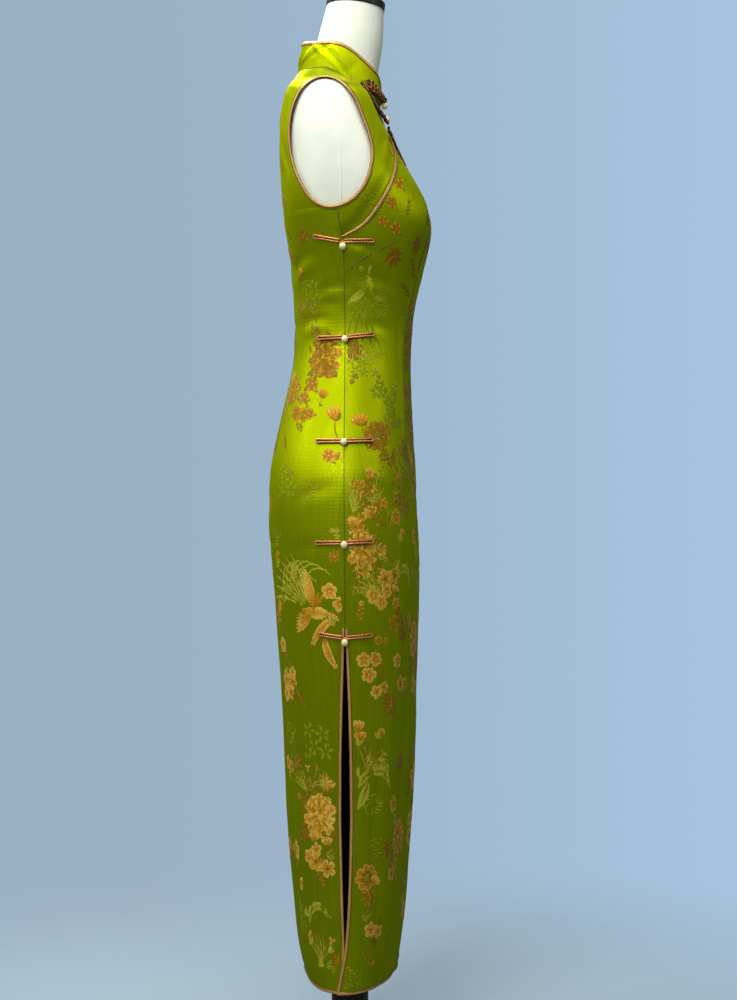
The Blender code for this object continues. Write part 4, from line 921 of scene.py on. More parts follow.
def cordTube(path, normal, radius, closed=False):
    # a round section carried along a path; open ends are rounded
    ahead = np.roll(path, -1, axis=0) - np.roll(path, 1, axis=0) if closed else np.gradient(path, axis=0)
    side = unit(np.cross(ahead, normal))
    top = unit(np.cross(side, ahead))
    turn = np.linspace(0, 2 * math.pi, cord["sides"], endpoint=False)
    run = runAlong(path)
    size = np.full(len(path), radius)
    if not closed:
        fromEnd = np.minimum(run, run[-1] - run)
        size = radius * np.sqrt(np.clip(1 - (1 - np.clip(fromEnd / radius, 0.02, 1)) ** 2, 0.05, 1))
    ring = np.cos(turn)[None, :, None] * side[:, None] + np.sin(turn)[None, :, None] * top[:, None]
    sections = path[:, None] + ring * size[:, None, None]
    quads, ends = tubeFaces(sections, 0, ring[0, 0], closed=closed)
    uv = np.stack(np.broadcast_arrays(run[:, None], (turn * radius)[None, :]), axis=-1)
    return sections.reshape(-1, 3), quads, uv.reshape(-1, 2), ends


def joinTubes(name, tubes, material, slot, *nodes):
    points, quads, uvs, ends, count = [], [], [], [], 0
    for tubePoints, tubeQuads, uv, tubeEnds in tubes:
        points.append(tubePoints)
        quads.append(tubeQuads + count)
        uvs.append(uv)
        ends += [end + count for end in tubeEnds]
        count += len(tubePoints)
    obj = addMesh(name, np.concatenate(points), np.concatenate(quads), material, uv=np.concatenate(uvs),
                  ends=ends, sharp=60)
    if nodes:
        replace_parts(obj, *nodes)


def resample(path, count):
    length = runAlong(path)
    at = np.linspace(0, length[-1], count)
    return np.stack([np.interp(at, length, path[:, k]) for k in range(path.shape[1])], axis=1)


def addBead(name, node, centre, normal):
    # an oval of turned rings, tall along the body, closed by a small face at each pole
    up = unit(np.array([0, 0, 1.0]) - normal * normal[2])
    side = np.cross(normal, up)
    turns = np.linspace(0, 2 * math.pi, 36, endpoint=False)
    lifts = np.radians(np.linspace(-86, 86, 22))
    around = np.outer(np.cos(turns), side) + np.outer(np.sin(turns), normal)
    points = around[None] * bead["wide"] * np.cos(lifts)[:, None, None]
    points = centre + points + up * bead["tall"] * np.sin(lifts)[:, None, None]
    quads, ends = tubeFaces(points, 10, points[10, 0] - centre)
    obj = addMesh(name, points, quads, pearl, ends=ends, sharp=80)
    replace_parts(obj, node)


def sideFrog(number, z, backLength, frontLength, backLift, frontLift, beadDrop):
    radius = cord["radius"]
    for part, length, lift in ((1, frontLength, frontLift), (-1, backLength, backLift)):
        # one cord lies out along the upper lane, turns in a tight eye at the far end and comes back below
        start = bead["wide"] * (0.55 if part > 0 else 0.75)
        out = np.linspace(start, length - radius, 40)
        flare = cord["flare"] * smoothStep(0.7, 1.0, out / length)
        eye = np.radians(np.linspace(-90, 90, 12)[1:-1])
        runs = np.concatenate([out, length - radius * 1.2 + radius * 1.2 * np.cos(eye), out[::-1]])
        lanes = np.concatenate([-radius * 1.02 - flare, radius * 1.05 * np.sin(eye),
                                radius * 1.02 + flare[::-1]])
        if part > 0:  # the front half ends in a loop that goes round the bead
            loop = np.radians(np.linspace(0, 180, 18))[1:-1]
            reach = bead["wide"] + radius * 0.3
            runs = np.concatenate([runs, start - reach * 1.25 * np.sin(loop)])
            lanes = np.concatenate([lanes, radius * 1.02 * np.cos(loop) + reach * 0.75 * np.sin(loop)])
        path = resample(np.stack([runs, lanes], axis=1), 120)
        level = z + lift * np.sign(path[:, 0]) * (np.abs(path[:, 0]) / length) ** 1.2 - path[:, 1]
        phi = part * seamPhi(level, path[:, 0])
        point, _, _, normal = surfaceFrame(phi, level)
        point = point + normal * (clothHeight(phi, level) + radius + cord["clear"])[:, None]
        end = "front" if part > 0 else "back"
        joinTubes(f"side_frog_{number}_{end}_cord", [cordTube(point, normal, radius)], cordSatin,
                  "copper_satin", f"side_frog_{number}_{end}")
    point, _, _, normal = surfaceFrame(np.array([0.0]), np.array([z - beadDrop]))
    addBead(f"side_frog_{number}_pearl", f"side_frog_{number}_bead",
            point[0] + normal[0] * (bead["wide"] + bead["clear"]), normal[0])


collarFrog = {
    "length": 0.048, "low": 0.008, "high": 0.014, "beadOut": 0.0073,
    "lifts": (0.0034, 0.0022, 0.0012, 0.0009, 0.0009, 0.0009, 0.0009, 0.0009, 0.0009),
    "widths": (0.0055, 0.0068, 0.0080, 0.0100, 0.0070, 0.0085, 0.0120, 0.0110, 0.0050), "coils": 7,
}
chestFrog = {
    "right": ((-0.006, 1.396), (-0.025, 1.405), (-0.040, 1.414), (-0.052, 1.4255), (-0.062, 1.4370)),
    "left": ((0.006, 1.388), (0.016, 1.374), (0.028, 1.360), (0.036, 1.351), (0.043, 1.342)),
    "bead": (0.0, 1.4005), "beadClear": 0.0014, "lift": {"right": 0.0021, "left": 0.0009},
    "widths": (0.0055, 0.0070, 0.0095, 0.0070, 0.0070, 0.0110, 0.0075, 0.0090, 0.0120, 0.0050), "coils": 9,
}


def coiledFrog(name, node, point, normal, widths, clear, coils):
    # a cord that runs out in small loops to either side of the bar and returns straight down its middle
    fine = np.linspace(0, 1, 260)
    at = np.linspace(0, 1, len(point))
    base = np.stack([naturalSpline(at, point[:, k])(fine) for k in range(3)], axis=1)
    out = unit(np.stack([np.interp(fine, at, normal[:, k]) for k in range(3)], axis=1))
    ahead = unit(np.gradient(base, axis=0))
    across = unit(np.cross(out, ahead))
    half = np.interp(fine, at, widths) * 0.66 - cord["radius"] * 0.5
    turn = 2 * math.pi * coils * fine
    slim = cord["slim"]
    step = np.linalg.norm(base[-1] - base[0]) / coils
    coil = base + across * (half * np.sin(turn))[:, None] - ahead * (0.42 * step * np.sin(2 * turn))[:, None]
    coil = coil + out * (clear + slim + 0.0013 * (1 + np.cos(turn)))[:, None]
    spine = resample(base[4:-4] + out[4:-4] * (clear + 0.0034), 60)
    spineOut = out[np.linspace(4, 255, 60).astype(int)]
    joinTubes(name, [cordTube(coil, out, slim), cordTube(spine, spineOut, slim)], knotSatin, "copper_satin",
              node)


def buildCollarFrog():
    for part, end in ((-1, "right"), (1, "left")):
        run = np.linspace(0.0010, collarFrog["length"], 9)
        rise = collarFrog["low"] + (collarFrog["high"] - collarFrog["low"]) * run / run[-1]
        point, normal = collarPoint(part * run, rise)
        point = point + normal * np.array(collarFrog["lifts"])[:, None]
        coiledFrog(f"collar_frog_{end}_cord", f"collar_frog_{end}", point, normal, collarFrog["widths"],
                   0.0002, collarFrog["coils"])
    point, normal = collarPoint(np.array([0.0]), np.array([0.0]))
    addBead("collar_frog_pearl", "collar_frog_bead", point[0] + normal[0] * collarFrog["beadOut"], normal[0])


def onFront(x, z):
    # angle and level of the front's points at given x and height
    return findOnSurface(0, x, z, math.pi / 2 + x / 0.06, z + 0.02, limit=0.05, rounds=60, margin=0.0003)


def buildChestFrog():
    for end in ("right", "left"):
        path = np.array(chestFrog[end])
        share, knots = np.linspace(0, 1, len(chestFrog["widths"])), np.linspace(0, 1, len(path))
        phi, level = onFront(*(np.interp(share, knots, path[:, k]) for k in (0, 1)))
        point, _, _, normal = surfaceFrame(phi, level)
        coiledFrog(f"chest_frog_{end}_cord", f"chest_frog_{end}", point, normal, chestFrog["widths"],
                   chestFrog["lift"][end], chestFrog["coils"])
    phi, level = onFront(*(np.array([value]) for value in chestFrog["bead"]))
    point, _, _, normal = surfaceFrame(phi, level)
    out = bead["wide"] + chestFrog["beadClear"]
    addBead("chest_frog_pearl", "chest_frog_bead", point[0] + normal[0] * out, normal[0])


for number, row in enumerate(sideFrogs, 1):
    sideFrog(number, *row)
buildCollarFrog()
buildChestFrog()
print("frogs and beads made")


# Dress form and stand

form = {"bottom": 0.722, "ease": 0.0058, "shoulderEase": 0.0036, "around": 120, "welt": 0.0007}
neckRings = np.array((  # front y, front z, back y, back z, half width
    (-0.0360, 1.430, 0.0670, 1.469, 0.0490), (-0.0390, 1.452, 0.0590, 1.486, 0.0445),
    (-0.0435, 1.482, 0.0525, 1.505, 0.0425), (-0.0480, 1.510, 0.0480, 1.524, 0.0425),
    (-0.0500, 1.538, 0.0415, 1.548, 0.0425), (-0.0505, 1.565, 0.0345, 1.574, 0.0420),
))
cap = {"rim": 0.0012, "side": 0.010, "dome": 0.017}


def stackRings(name, node, ringPoints, material, sharp):
    # a closed body from rings of points, lowest first
    row = len(ringPoints) // 2
    quads, ends = tubeFaces(ringPoints, row, ringPoints[row, 0] - ringPoints[row].mean(axis=0))
    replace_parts(addMesh(name, ringPoints, quads, material, ends=ends, sharp=sharp), node)


def neckRing(turns, row):
    frontY, frontZ, backY, backZ, halfWidth = row
    front, back = np.array([0, frontY, frontZ]), np.array([0, backY, backZ])
    side = np.array([halfWidth, 0, 0])
    return (front + back) / 2 - np.outer(np.cos(turns), side) + np.outer(np.sin(turns), (front - back) / 2)


def buildForm():
    # the torso follows the dress from inside, and the neck is a stack of tilted ovals through a spline
    turns = np.linspace(0, 2 * math.pi, form["around"], endpoint=False)
    levels = np.concatenate([np.linspace(form["bottom"], 1.19, 60), np.linspace(1.197, 1.505, 46)])
    zero, full = np.zeros(len(levels)), np.full(len(levels), 2 * math.pi)
    phis = rowPhis(zero, full, levels, form["around"])[:, :-1]
    level = levels[:, None] + 0 * phis
    carried = smoothStep(1.38, 1.44, level) * (1 - smoothStep(0.5, 0.9, np.sin(phis)))
    ease = form["ease"] + (form["shoulderEase"] - form["ease"]) * carried
    torso = lifted(phis, level, -ease)
    at = np.arange(len(neckRings))
    fine = np.linspace(0, len(neckRings) - 1, 26)
    rows = np.stack([naturalSpline(at, neckRings[:, k])(fine) for k in range(5)], axis=1)
    neck = np.array([neckRing(turns, row) for row in rows])
    stackRings("dress_form_jersey", "dress_form", np.concatenate([torso, neck]), jersey, 60)
    rim = neck[-1]
    middle = rim.mean(axis=0)
    up = unit(np.cross(rim[0] - middle, rim[len(rim) // 4] - middle))
    across = (rim - middle) * (1 + cap["rim"] / neckRings[-1, -1])
    edge = [middle + across * 0.985 + up * 0.0003, middle + across + up * 0.0012]
    rise = cap["dome"] - cap["side"]
    dome = [middle + across * math.cos(lift) ** 0.7 + up * (cap["side"] + rise * math.sin(lift))
            for lift in np.radians(np.linspace(0, 80, 24))]
    stackRings("neck_cap_moulded", "neck_cap", np.array(edge + dome), steel, 35)


buildForm()


def turned(name, node, corners, soft=0.0016):
    # a profile of corners, each softened by a small arc, turned about the pole
    corners = np.array(corners)
    profile = [corners[0]]
    for before, here, after in zip(corners, corners[1:], corners[2:]):
        a, b = (end - here for end in (before, after))
        reach = min(soft, 0.4 * np.linalg.norm(a), 0.4 * np.linalg.norm(b))
        p, q = here + a / np.linalg.norm(a) * reach, here + b / np.linalg.norm(b) * reach
        profile += [(1 - t) ** 2 * p + 2 * t * (1 - t) * here + t * t * q for t in np.linspace(0, 1, 5)]
    profile = np.array(profile + [corners[-1]])
    turns = np.linspace(0, 2 * math.pi, 96, endpoint=False)
    circle = np.stack([np.cos(turns), np.sin(turns), 0 * turns], axis=-1)
    points = circle[None] * profile[:, 0, None, None]
    points[..., 2] = profile[:, 1, None]
    stackRings(name, node, points, steel, 30)


# the profiles: (radius, height), the plate and its hub, then the pole and the plate under the form
stand = {
    "base": (
        (0.150, 0.0), (0.187, 0.0), (0.190, 0.003), (0.190, 0.009), (0.187, 0.012), (0.150, 0.0126),
        (0.060, 0.0135), (0.038, 0.015), (0.0300, 0.022), (0.0275, 0.032), (0.0275, 0.221),
        (0.0262, 0.2275), (0.0235, 0.230), (0.020, 0.230),
    ),
    "pole": (
        (0.015, 0.2303), (0.016, 0.2312), (0.016, 0.704), (0.0175, 0.7075), (0.033, 0.7095), (0.034, 0.711),
        (0.034, 0.7205), (0.033, 0.7217), (0.020, 0.7217),
    ),
}
for piece, profile in stand.items():
    turned(f"stand_{piece}_turned", f"stand_{piece}", profile)
print("form and stand made")


# Seams: thin dark strips laid along the seam lines, round the neck seam and beside the placket's and
# armholes' bindings as painted shade of their grooves, and the form's own seam

# painted shade strips: their lift over the cloth, their radii along the seams, beside the bindings and round
# the neck, and their distance from a binding's edge
seamShadeSizes = {"lift": 0.0001, "seam": 0.00055, "edge": 0.0005, "neck": 0.0008, "fromEdge": 0.0061}
# the seam lines that raise no ridge, marked only by a painted shade strip, as (degrees, level): the side
# seam, the bust dart and the shoulder seam
flatSeams = (
    ((0, 1.2460), (0, 1.225), (0, 1.2), (0, 1.10), (0, 0.90), (0, 0.655)),
    ((0.6, 1.1560), (13.5, 1.1788), (27, 1.1960), (33, 1.2035)),
    ((3, 1.5160), (3.4, 1.490), (4, 1.4520)),
)


def seamPath(line, count=70):
    line = np.array(line, float)
    along, even = np.linspace(0, 1, len(line)), np.linspace(0, 1, count)
    fine = resample(np.stack([naturalSpline(along, line[:, k])(even) for k in (0, 1)], axis=1), count)
    phi, level = np.radians(fine[:, 0]), fine[:, 1]
    return clothPoint(phi, level, seamShadeSizes["lift"]), surfaceFrame(phi, level)[3]


def paintSeamShade():
    # the hip's turn is a fold, not a seam
    lines = [line for name, (line, _, _) in seamLines.items() if name != "hipTurnFront"]
    lines += flatSeams
    tubes = []
    for line in lines:
        for way in (line, [(180 - d, z) for d, z in line]):
            point, normal = seamPath(way)
            tubes.append(cordTube(point, normal, seamShadeSizes["seam"]))
    # painted shade round the neck seam
    around = np.linspace(0, 2 * math.pi, 180, endpoint=False)
    level = np.full(180, body["neck"] - 0.0002)
    normal = surfaceFrame(around, level)[3]
    tubes.append(cordTube(lifted(around, level, 0.0002), normal, seamShadeSizes["neck"], closed=True))
    # painted shadow: a dark strip just outside the placket's and the armholes' bindings, where their edges
    # shade the cloth
    for curve, closed in ((opening, False), (armhole, True)):
        phi, level = beside(*curve, seamShadeSizes["fromEdge"], closed=closed)
        phi, level = (phi, level) if closed else (phi[14:-8], level[14:-8])
        point, normal = clothPoint(phi, level, seamShadeSizes["lift"]), surfaceFrame(phi, level)[3]
        tubes.append(cordTube(point, normal, seamShadeSizes["edge"], closed=closed))
        if closed:
            tubes.append(cordTube((point * flip)[::-1], (normal * flip)[::-1], seamShadeSizes["edge"], closed=True))
    joinTubes("seam_shade_strips", tubes, seamShadeMaterial, "green_silk")
    level = np.linspace(1.440, 1.235, 60)
    sides = []
    for way in (1, -1):
        phi = np.radians(np.linspace(5.8, 2.2, 60))
        phi = phi if way > 0 else math.pi - phi
        path, normal = lifted(phi, level, -form["ease"] + 0.0002), surfaceFrame(phi, level)[3]
        sides.append(cordTube(path, normal, form["welt"]))
    joinTubes("form_seam_welt", sides, jersey, "form_jersey")


paintSeamShade()


# Brocade figures, woven in floats: each is a set of blades in units of the figure's size
# a blade's columns: x, y, heading, length, bend, width, fullness, tone at its root, tone at its tip

def blade(*columns):
    return np.stack(np.broadcast_arrays(*columns), axis=-1).astype(float)


def fan(count, start, length, width, full, tones, turn=0, bend=0, at=(0, 0), spread=360, grow=0.0, skew=0):
    # equal blades round a point, each a step further round and a share longer; skew turns them off the radius
    k = np.arange(count)
    angle = turn + k * spread / count
    size = 1 + grow * k / max(count - 1, 1)
    c, s = np.cos(np.radians(angle)), np.sin(np.radians(angle))
    return blade(at[0] + start * c, at[1] + start * s, angle + skew, length * size, bend, width * size,
                 full, *tones)


def alongStem(x, y, heading, length, bend, places):
    # points and headings on an evenly bent stem
    places = np.asarray(places, float)
    h, b = math.radians(heading), math.radians(bend) + 1e-6
    turn = h + b * places
    return (x + length * (np.sin(turn) - math.sin(h)) / b, y - length * (np.cos(turn) - math.cos(h)) / b,
            np.degrees(turn))


def spray(x=0, y=0, heading=90, length=2.0, bend=30, leaves=7, leaf=0.5, width=0.17, tones=(0.4, 0.58),
          tip="bud"):
    # a bent stem with leaves to either side and a small bloom at its tip
    places = np.linspace(0.2, 0.92, leaves)
    px, py, turn = alongStem(x, y, heading, length, bend, places)
    side = np.where(np.arange(leaves) % 2, 1, -1)
    stem = np.array([[x, y, heading, length, bend, 0.055, 0.35, tones[0], tones[1]]])
    blades = blade(px, py, turn + 48 * side, leaf * (1.1 - 0.5 * places), -22 * side, width, 0.85, *tones)
    endX, endY, endTurn = (float(value) for value in alongStem(x, y, heading, length, bend, 1.0))
    end = fan(5, 0.02, 0.26, 0.2, 0.45, (tones[1], tones[1] + 0.2), turn=endTurn, at=(endX, endY))
    return np.concatenate([stem, blades, end] if tip == "bud" else [stem, blades])


def curls(count, size, turn, tone, at=(0, 0), spread=150, thin=0.05):
    # thin strokes rolled into open hooks
    return fan(count, 0.05, size, thin, 0.3, (tone, tone), turn=turn, bend=230, at=at, spread=spread,
               grow=0.35)


def barbs(side):
    # the barbs on one side of the plume's stem, longest at its middle
    px, py, turn = alongStem(0, -1, 96, 2.2, -34, np.linspace(0.1, 0.9, 11))
    length = 0.6 * np.sin(np.linspace(0.5, 2.8, 11))
    return blade(px, py, turn + 38 * side, length, -34 * side, 0.13, 0.7, 0.52, 0.9)


figures = {
    "peony": np.concatenate([
        # leaves, guard petals below and above, then frilled rows that turn about an off-centre heart
        spray(-0.5, -0.4, 222, 1.0, 30, 5, 0.5, 0.24, (0.3, 0.46), ""),
        spray(0.5, -0.5, -40, 0.9, -40, 5, 0.45, 0.22, (0.24, 0.42), ""),
        spray(-0.3, 0.6, 118, 0.8, -30, 4, 0.45, 0.24, (0.22, 0.36), ""),
        fan(7, 0.66, 0.42, 0.28, 0.85, (0.26, 0.42), turn=25, bend=25),
        fan(5, 0.3, 0.62, 0.5, 0.34, (0.44, 0.74), turn=196, spread=190, at=(0, -0.1)),
        fan(5, 0.2, 0.6, 0.44, 0.34, (0.44, 0.7), turn=14, spread=190, at=(0, 0.05)),
        fan(6, 0.16, 0.52, 0.36, 0.36, (0.5, 0.84), turn=186, spread=230, at=(0.02, -0.12), bend=20),
        fan(11, 0.72, 0.26, 0.09, 0.5, (0.9, 1.0), turn=6, skew=70, bend=80),
        fan(7, 0.06, 0.46, 0.27, 0.38, (0.46, 0.9), turn=30, bend=-24, at=(0.02, 0.06)),
        fan(9, 0.5, 0.24, 0.08, 0.5, (0.88, 1.0), turn=20, skew=74, bend=90, at=(0.02, 0.04)),
        fan(9, 0.4, 0.22, 0.05, 0.5, (0.38, 0.44), turn=44, skew=80, bend=70, at=(0.02, 0.04)),
        fan(5, 0.04, 0.3, 0.2, 0.4, (0.56, 0.96), turn=50, bend=40, at=(0.03, 0.1)),
        fan(5, 0.24, 0.24, 0.07, 0.5, (0.92, 1.0), turn=0, skew=78, bend=120, at=(0.03, 0.1)),
        fan(4, 0.1, 0.18, 0.06, 0.5, (0.4, 0.46), turn=40, skew=80, bend=120, at=(0.03, 0.1)),
    ]),
    "blossom": np.concatenate([
        np.array([[0.2, -0.5, -64, 1.3, 40, 0.09, 0.4, 0.34, 0.22],
                  [0.5, -1.0, -20, 0.6, 30, 0.24, 0.85, 0.26, 0.42]]),
        fan(5, 0.14, 0.86, 0.84, 0.36, (0.52, 0.84), turn=18, grow=0.12),
        fan(5, 0.1, 0.44, 0.11, 0.5, (0.34, 0.44), turn=54),
        fan(5, 0.72, 0.3, 0.08, 0.5, (0.95, 1.0), turn=4, skew=60, bend=60),
        fan(5, 0.0, 0.2, 0.14, 0.5, (0.9, 1.0)),
    ]),
    "twin": np.concatenate([
        fan(5, 0.1, 0.6, 0.54, 0.4, (0.52, 0.84), turn=10, at=(-0.45, 0.15)),
        fan(5, 0.1, 0.5, 0.44, 0.4, (0.5, 0.8), turn=40, at=(0.55, -0.2)),
        fan(4, 0.02, 0.16, 0.1, 0.5, (0.34, 0.4), at=(-0.45, 0.15)),
        fan(4, 0.02, 0.14, 0.1, 0.5, (0.34, 0.4), at=(0.55, -0.2)),
        spray(-0.2, -0.4, -80, 1.0, 40, 5, 0.5, 0.22, (0.24, 0.44), ""),
        spray(0.6, 0.2, 50, 0.9, 40, 4, 0.4, 0.18, (0.2, 0.4), ""),
    ]),
    "bud": np.concatenate([
        np.array([[0, 0, -90, 1.2, 35, 0.09, 0.35, 0.24, 0.34],
                  [0, -0.7, -30, 0.7, 40, 0.26, 0.85, 0.22, 0.34]]),
        fan(3, 0.0, 0.66, 0.3, 0.8, (0.24, 0.36), turn=14, spread=114, bend=26),
        fan(5, 0.02, 1.0, 0.4, 0.42, (0.46, 0.82), turn=48, spread=105),
        fan(3, 0.12, 0.7, 0.34, 0.42, (0.54, 0.92), turn=66, spread=72),
        fan(3, 0.72, 0.26, 0.07, 0.5, (0.95, 1.0), turn=60, skew=70, spread=90),
    ]),
    "oval": np.concatenate([
        fan(8, 0.34, 0.56, 0.54, 0.38, (0.44, 0.68), turn=8),
        fan(6, 0.04, 0.44, 0.32, 0.4, (0.3, 0.4), turn=20),
        fan(6, 0.5, 0.24, 0.07, 0.5, (0.74, 0.84), turn=30, skew=70, bend=60),
        fan(5, 0.02, 0.26, 0.16, 0.5, (0.12, 0.24), turn=5),
    ]),
    "leaf": np.concatenate([
        np.array([[0, -1, 82, 2.0, 18, 0.62, 0.85, 0.34, 0.52],
                  [0, -0.9, 84, 1.8, 16, 0.07, 0.4, 0.66, 0.7]]),
    ]),
    "leafStar": np.concatenate([
        fan(8, 0.05, 0.92, 0.4, 0.75, (0.38, 0.62), bend=16, grow=-0.3),
        fan(5, 0.05, 0.6, 0.09, 0.6, (0.7, 0.84), turn=20), fan(3, 0.0, 0.2, 0.14, 0.5, (0.7, 0.8)),
    ]),
    "hooks": np.concatenate([
        np.array([[-0.1, -1.1, 100, 2.3, -165, 0.19, 0.3, 0.2, 0.24],
                  [0.0, -1.0, 72, 2.1, -150, 0.17, 0.3, 0.2, 0.24],
                  [-0.05, -1.1, 96, 1.9, -150, 0.06, 0.3, 0.1, 0.14],
                  [0.0, -0.9, 66, 1.8, -140, 0.06, 0.3, 0.1, 0.14]]),
        fan(4, 0.0, 0.46, 0.22, 0.8, (0.2, 0.32), turn=50, bend=30, spread=120, at=(-0.35, 0.7)),
        fan(4, 0.0, 0.42, 0.28, 0.45, (0.45, 0.85), turn=66, spread=80, at=(-0.25, 0.95)),
        fan(3, 0.0, 0.6, 0.16, 0.8, (0.2, 0.3), turn=120, bend=-40, spread=70, at=(-0.1, -0.7)),
        fan(3, 0.0, 0.4, 0.16, 0.8, (0.22, 0.34), turn=-60, bend=40, spread=90, at=(0.5, -0.2)),
    ]),
    "spray": spray(),
    "longSpray": np.concatenate([
        spray(0, -1, 84, 2.6, 26, 10, 0.52, 0.24, (0.36, 0.56)),
        spray(0.1, -0.4, 60, 1.4, -34, 5, 0.4, 0.2, (0.36, 0.56)),
        fan(5, 0.08, 0.34, 0.28, 0.4, (0.42, 0.62), at=(-0.55, 0.6)),
        fan(5, 0.08, 0.3, 0.24, 0.4, (0.42, 0.62), turn=20, at=(0.75, 0.1)),
    ]),
    "vine": np.concatenate([
        np.array([[0, -1, 100, 1.5, -70, 0.06, 0.35, 0.3, 0.16],
                  [-0.1, 0.3, 30, 1.1, 80, 0.06, 0.35, 0.16, 0.1]]),
        curls(3, 0.55, 10, 0.12, at=(0.15, -0.2)), curls(3, 0.5, 120, 0.14, at=(-0.2, 0.1)),
        fan(4, 0.0, 0.35, 0.14, 0.8, (0.2, 0.34), turn=60, at=(0.4, 0.9)),
    ]),
    "ghost": np.concatenate([
        *(fan(5, 0.06, 0.34, 0.17, 0.5, (0.0, 0.07), turn=30 * k, at=at)
          for k, at in enumerate(((-0.42, 0.4), (0.36, 0.28), (-0.1, -0.34), (0.52, -0.5)))),
        fan(8, 0.62, 0.3, 0.07, 0.4, (0.0, 0.08), turn=12, skew=60, bend=70),
        curls(3, 0.5, 200, 0.08, at=(-0.6, -0.6)),
    ]),
    "grass": np.concatenate([
        fan(5, 0.0, 1.7, 0.07, 0.5, (0.14, 0.24), turn=62, bend=34, spread=70, grow=0.2),
        fan(4, 0.0, 1.4, 0.09, 0.6, (0.2, 0.3), turn=58, bend=-42, spread=76, grow=0.3),
        fan(3, 0.0, 0.24, 0.15, 0.5, (0.6, 0.8), turn=0, at=(0.9, 1.25)),
    ]),
    "scroll": np.concatenate([
        curls(4, 1.0, 0, 0.06, spread=200), curls(3, 0.7, 160, 0.1, at=(0.5, 0.3)),
        fan(5, 0.2, 0.5, 0.09, 0.5, (0.04, 0.14), turn=250, bend=60, spread=120),
    ]),
    "plume": np.concatenate([
        np.array([[0, -1, 96, 2.2, -34, 0.07, 0.35, 0.55, 0.8]]), barbs(-1), barbs(1),
    ]),
    "bird": np.concatenate([
        fan(7, 0.2, 1.9, 0.09, 0.6, (0.1, 0.26), turn=132, bend=40, spread=74, grow=0.35, at=(-0.2, -0.1)),
        fan(6, 0.9, 1.3, 0.05, 0.4, (0.2, 0.14), turn=128, bend=-150, spread=90, grow=0.3, at=(-0.2, -0.1)),
        curls(5, 0.8, 150, 0.18, at=(-1.3, 0.75), spread=100, thin=0.06),
        fan(6, 0.0, 0.26, 0.13, 0.5, (0.2, 0.34), turn=120, at=(-1.0, 0.35), spread=130),
        np.array([[-0.35, -0.25, 24, 1.05, 18, 0.44, 0.55, 0.56, 0.84],
                  [0.42, 0.16, 48, 0.62, -58, 0.17, 0.6, 0.6, 0.9],
                  [0.86, 0.46, -28, 0.18, 10, 0.07, 0.6, 0.4, 0.36]]),
        fan(3, 0.0, 0.34, 0.05, 0.4, (0.5, 0.9), turn=74, bend=40, spread=66, at=(0.76, 0.5)),
        fan(9, 0.05, 1.7, 0.15, 0.75, (0.56, 0.94), turn=122, bend=48, spread=24, grow=-0.55,
            at=(0.12, 0.0)),
        fan(5, 0.05, 0.7, 0.12, 0.7, (0.42, 0.62), turn=76, bend=30, spread=70, grow=-0.3, at=(0.0, 0.02)),
        fan(7, 0.05, 1.0, 0.15, 0.75, (0.5, 0.86), turn=-84, bend=-40, spread=-50, grow=-0.4,
            at=(0.1, -0.1)),
    ]),
}

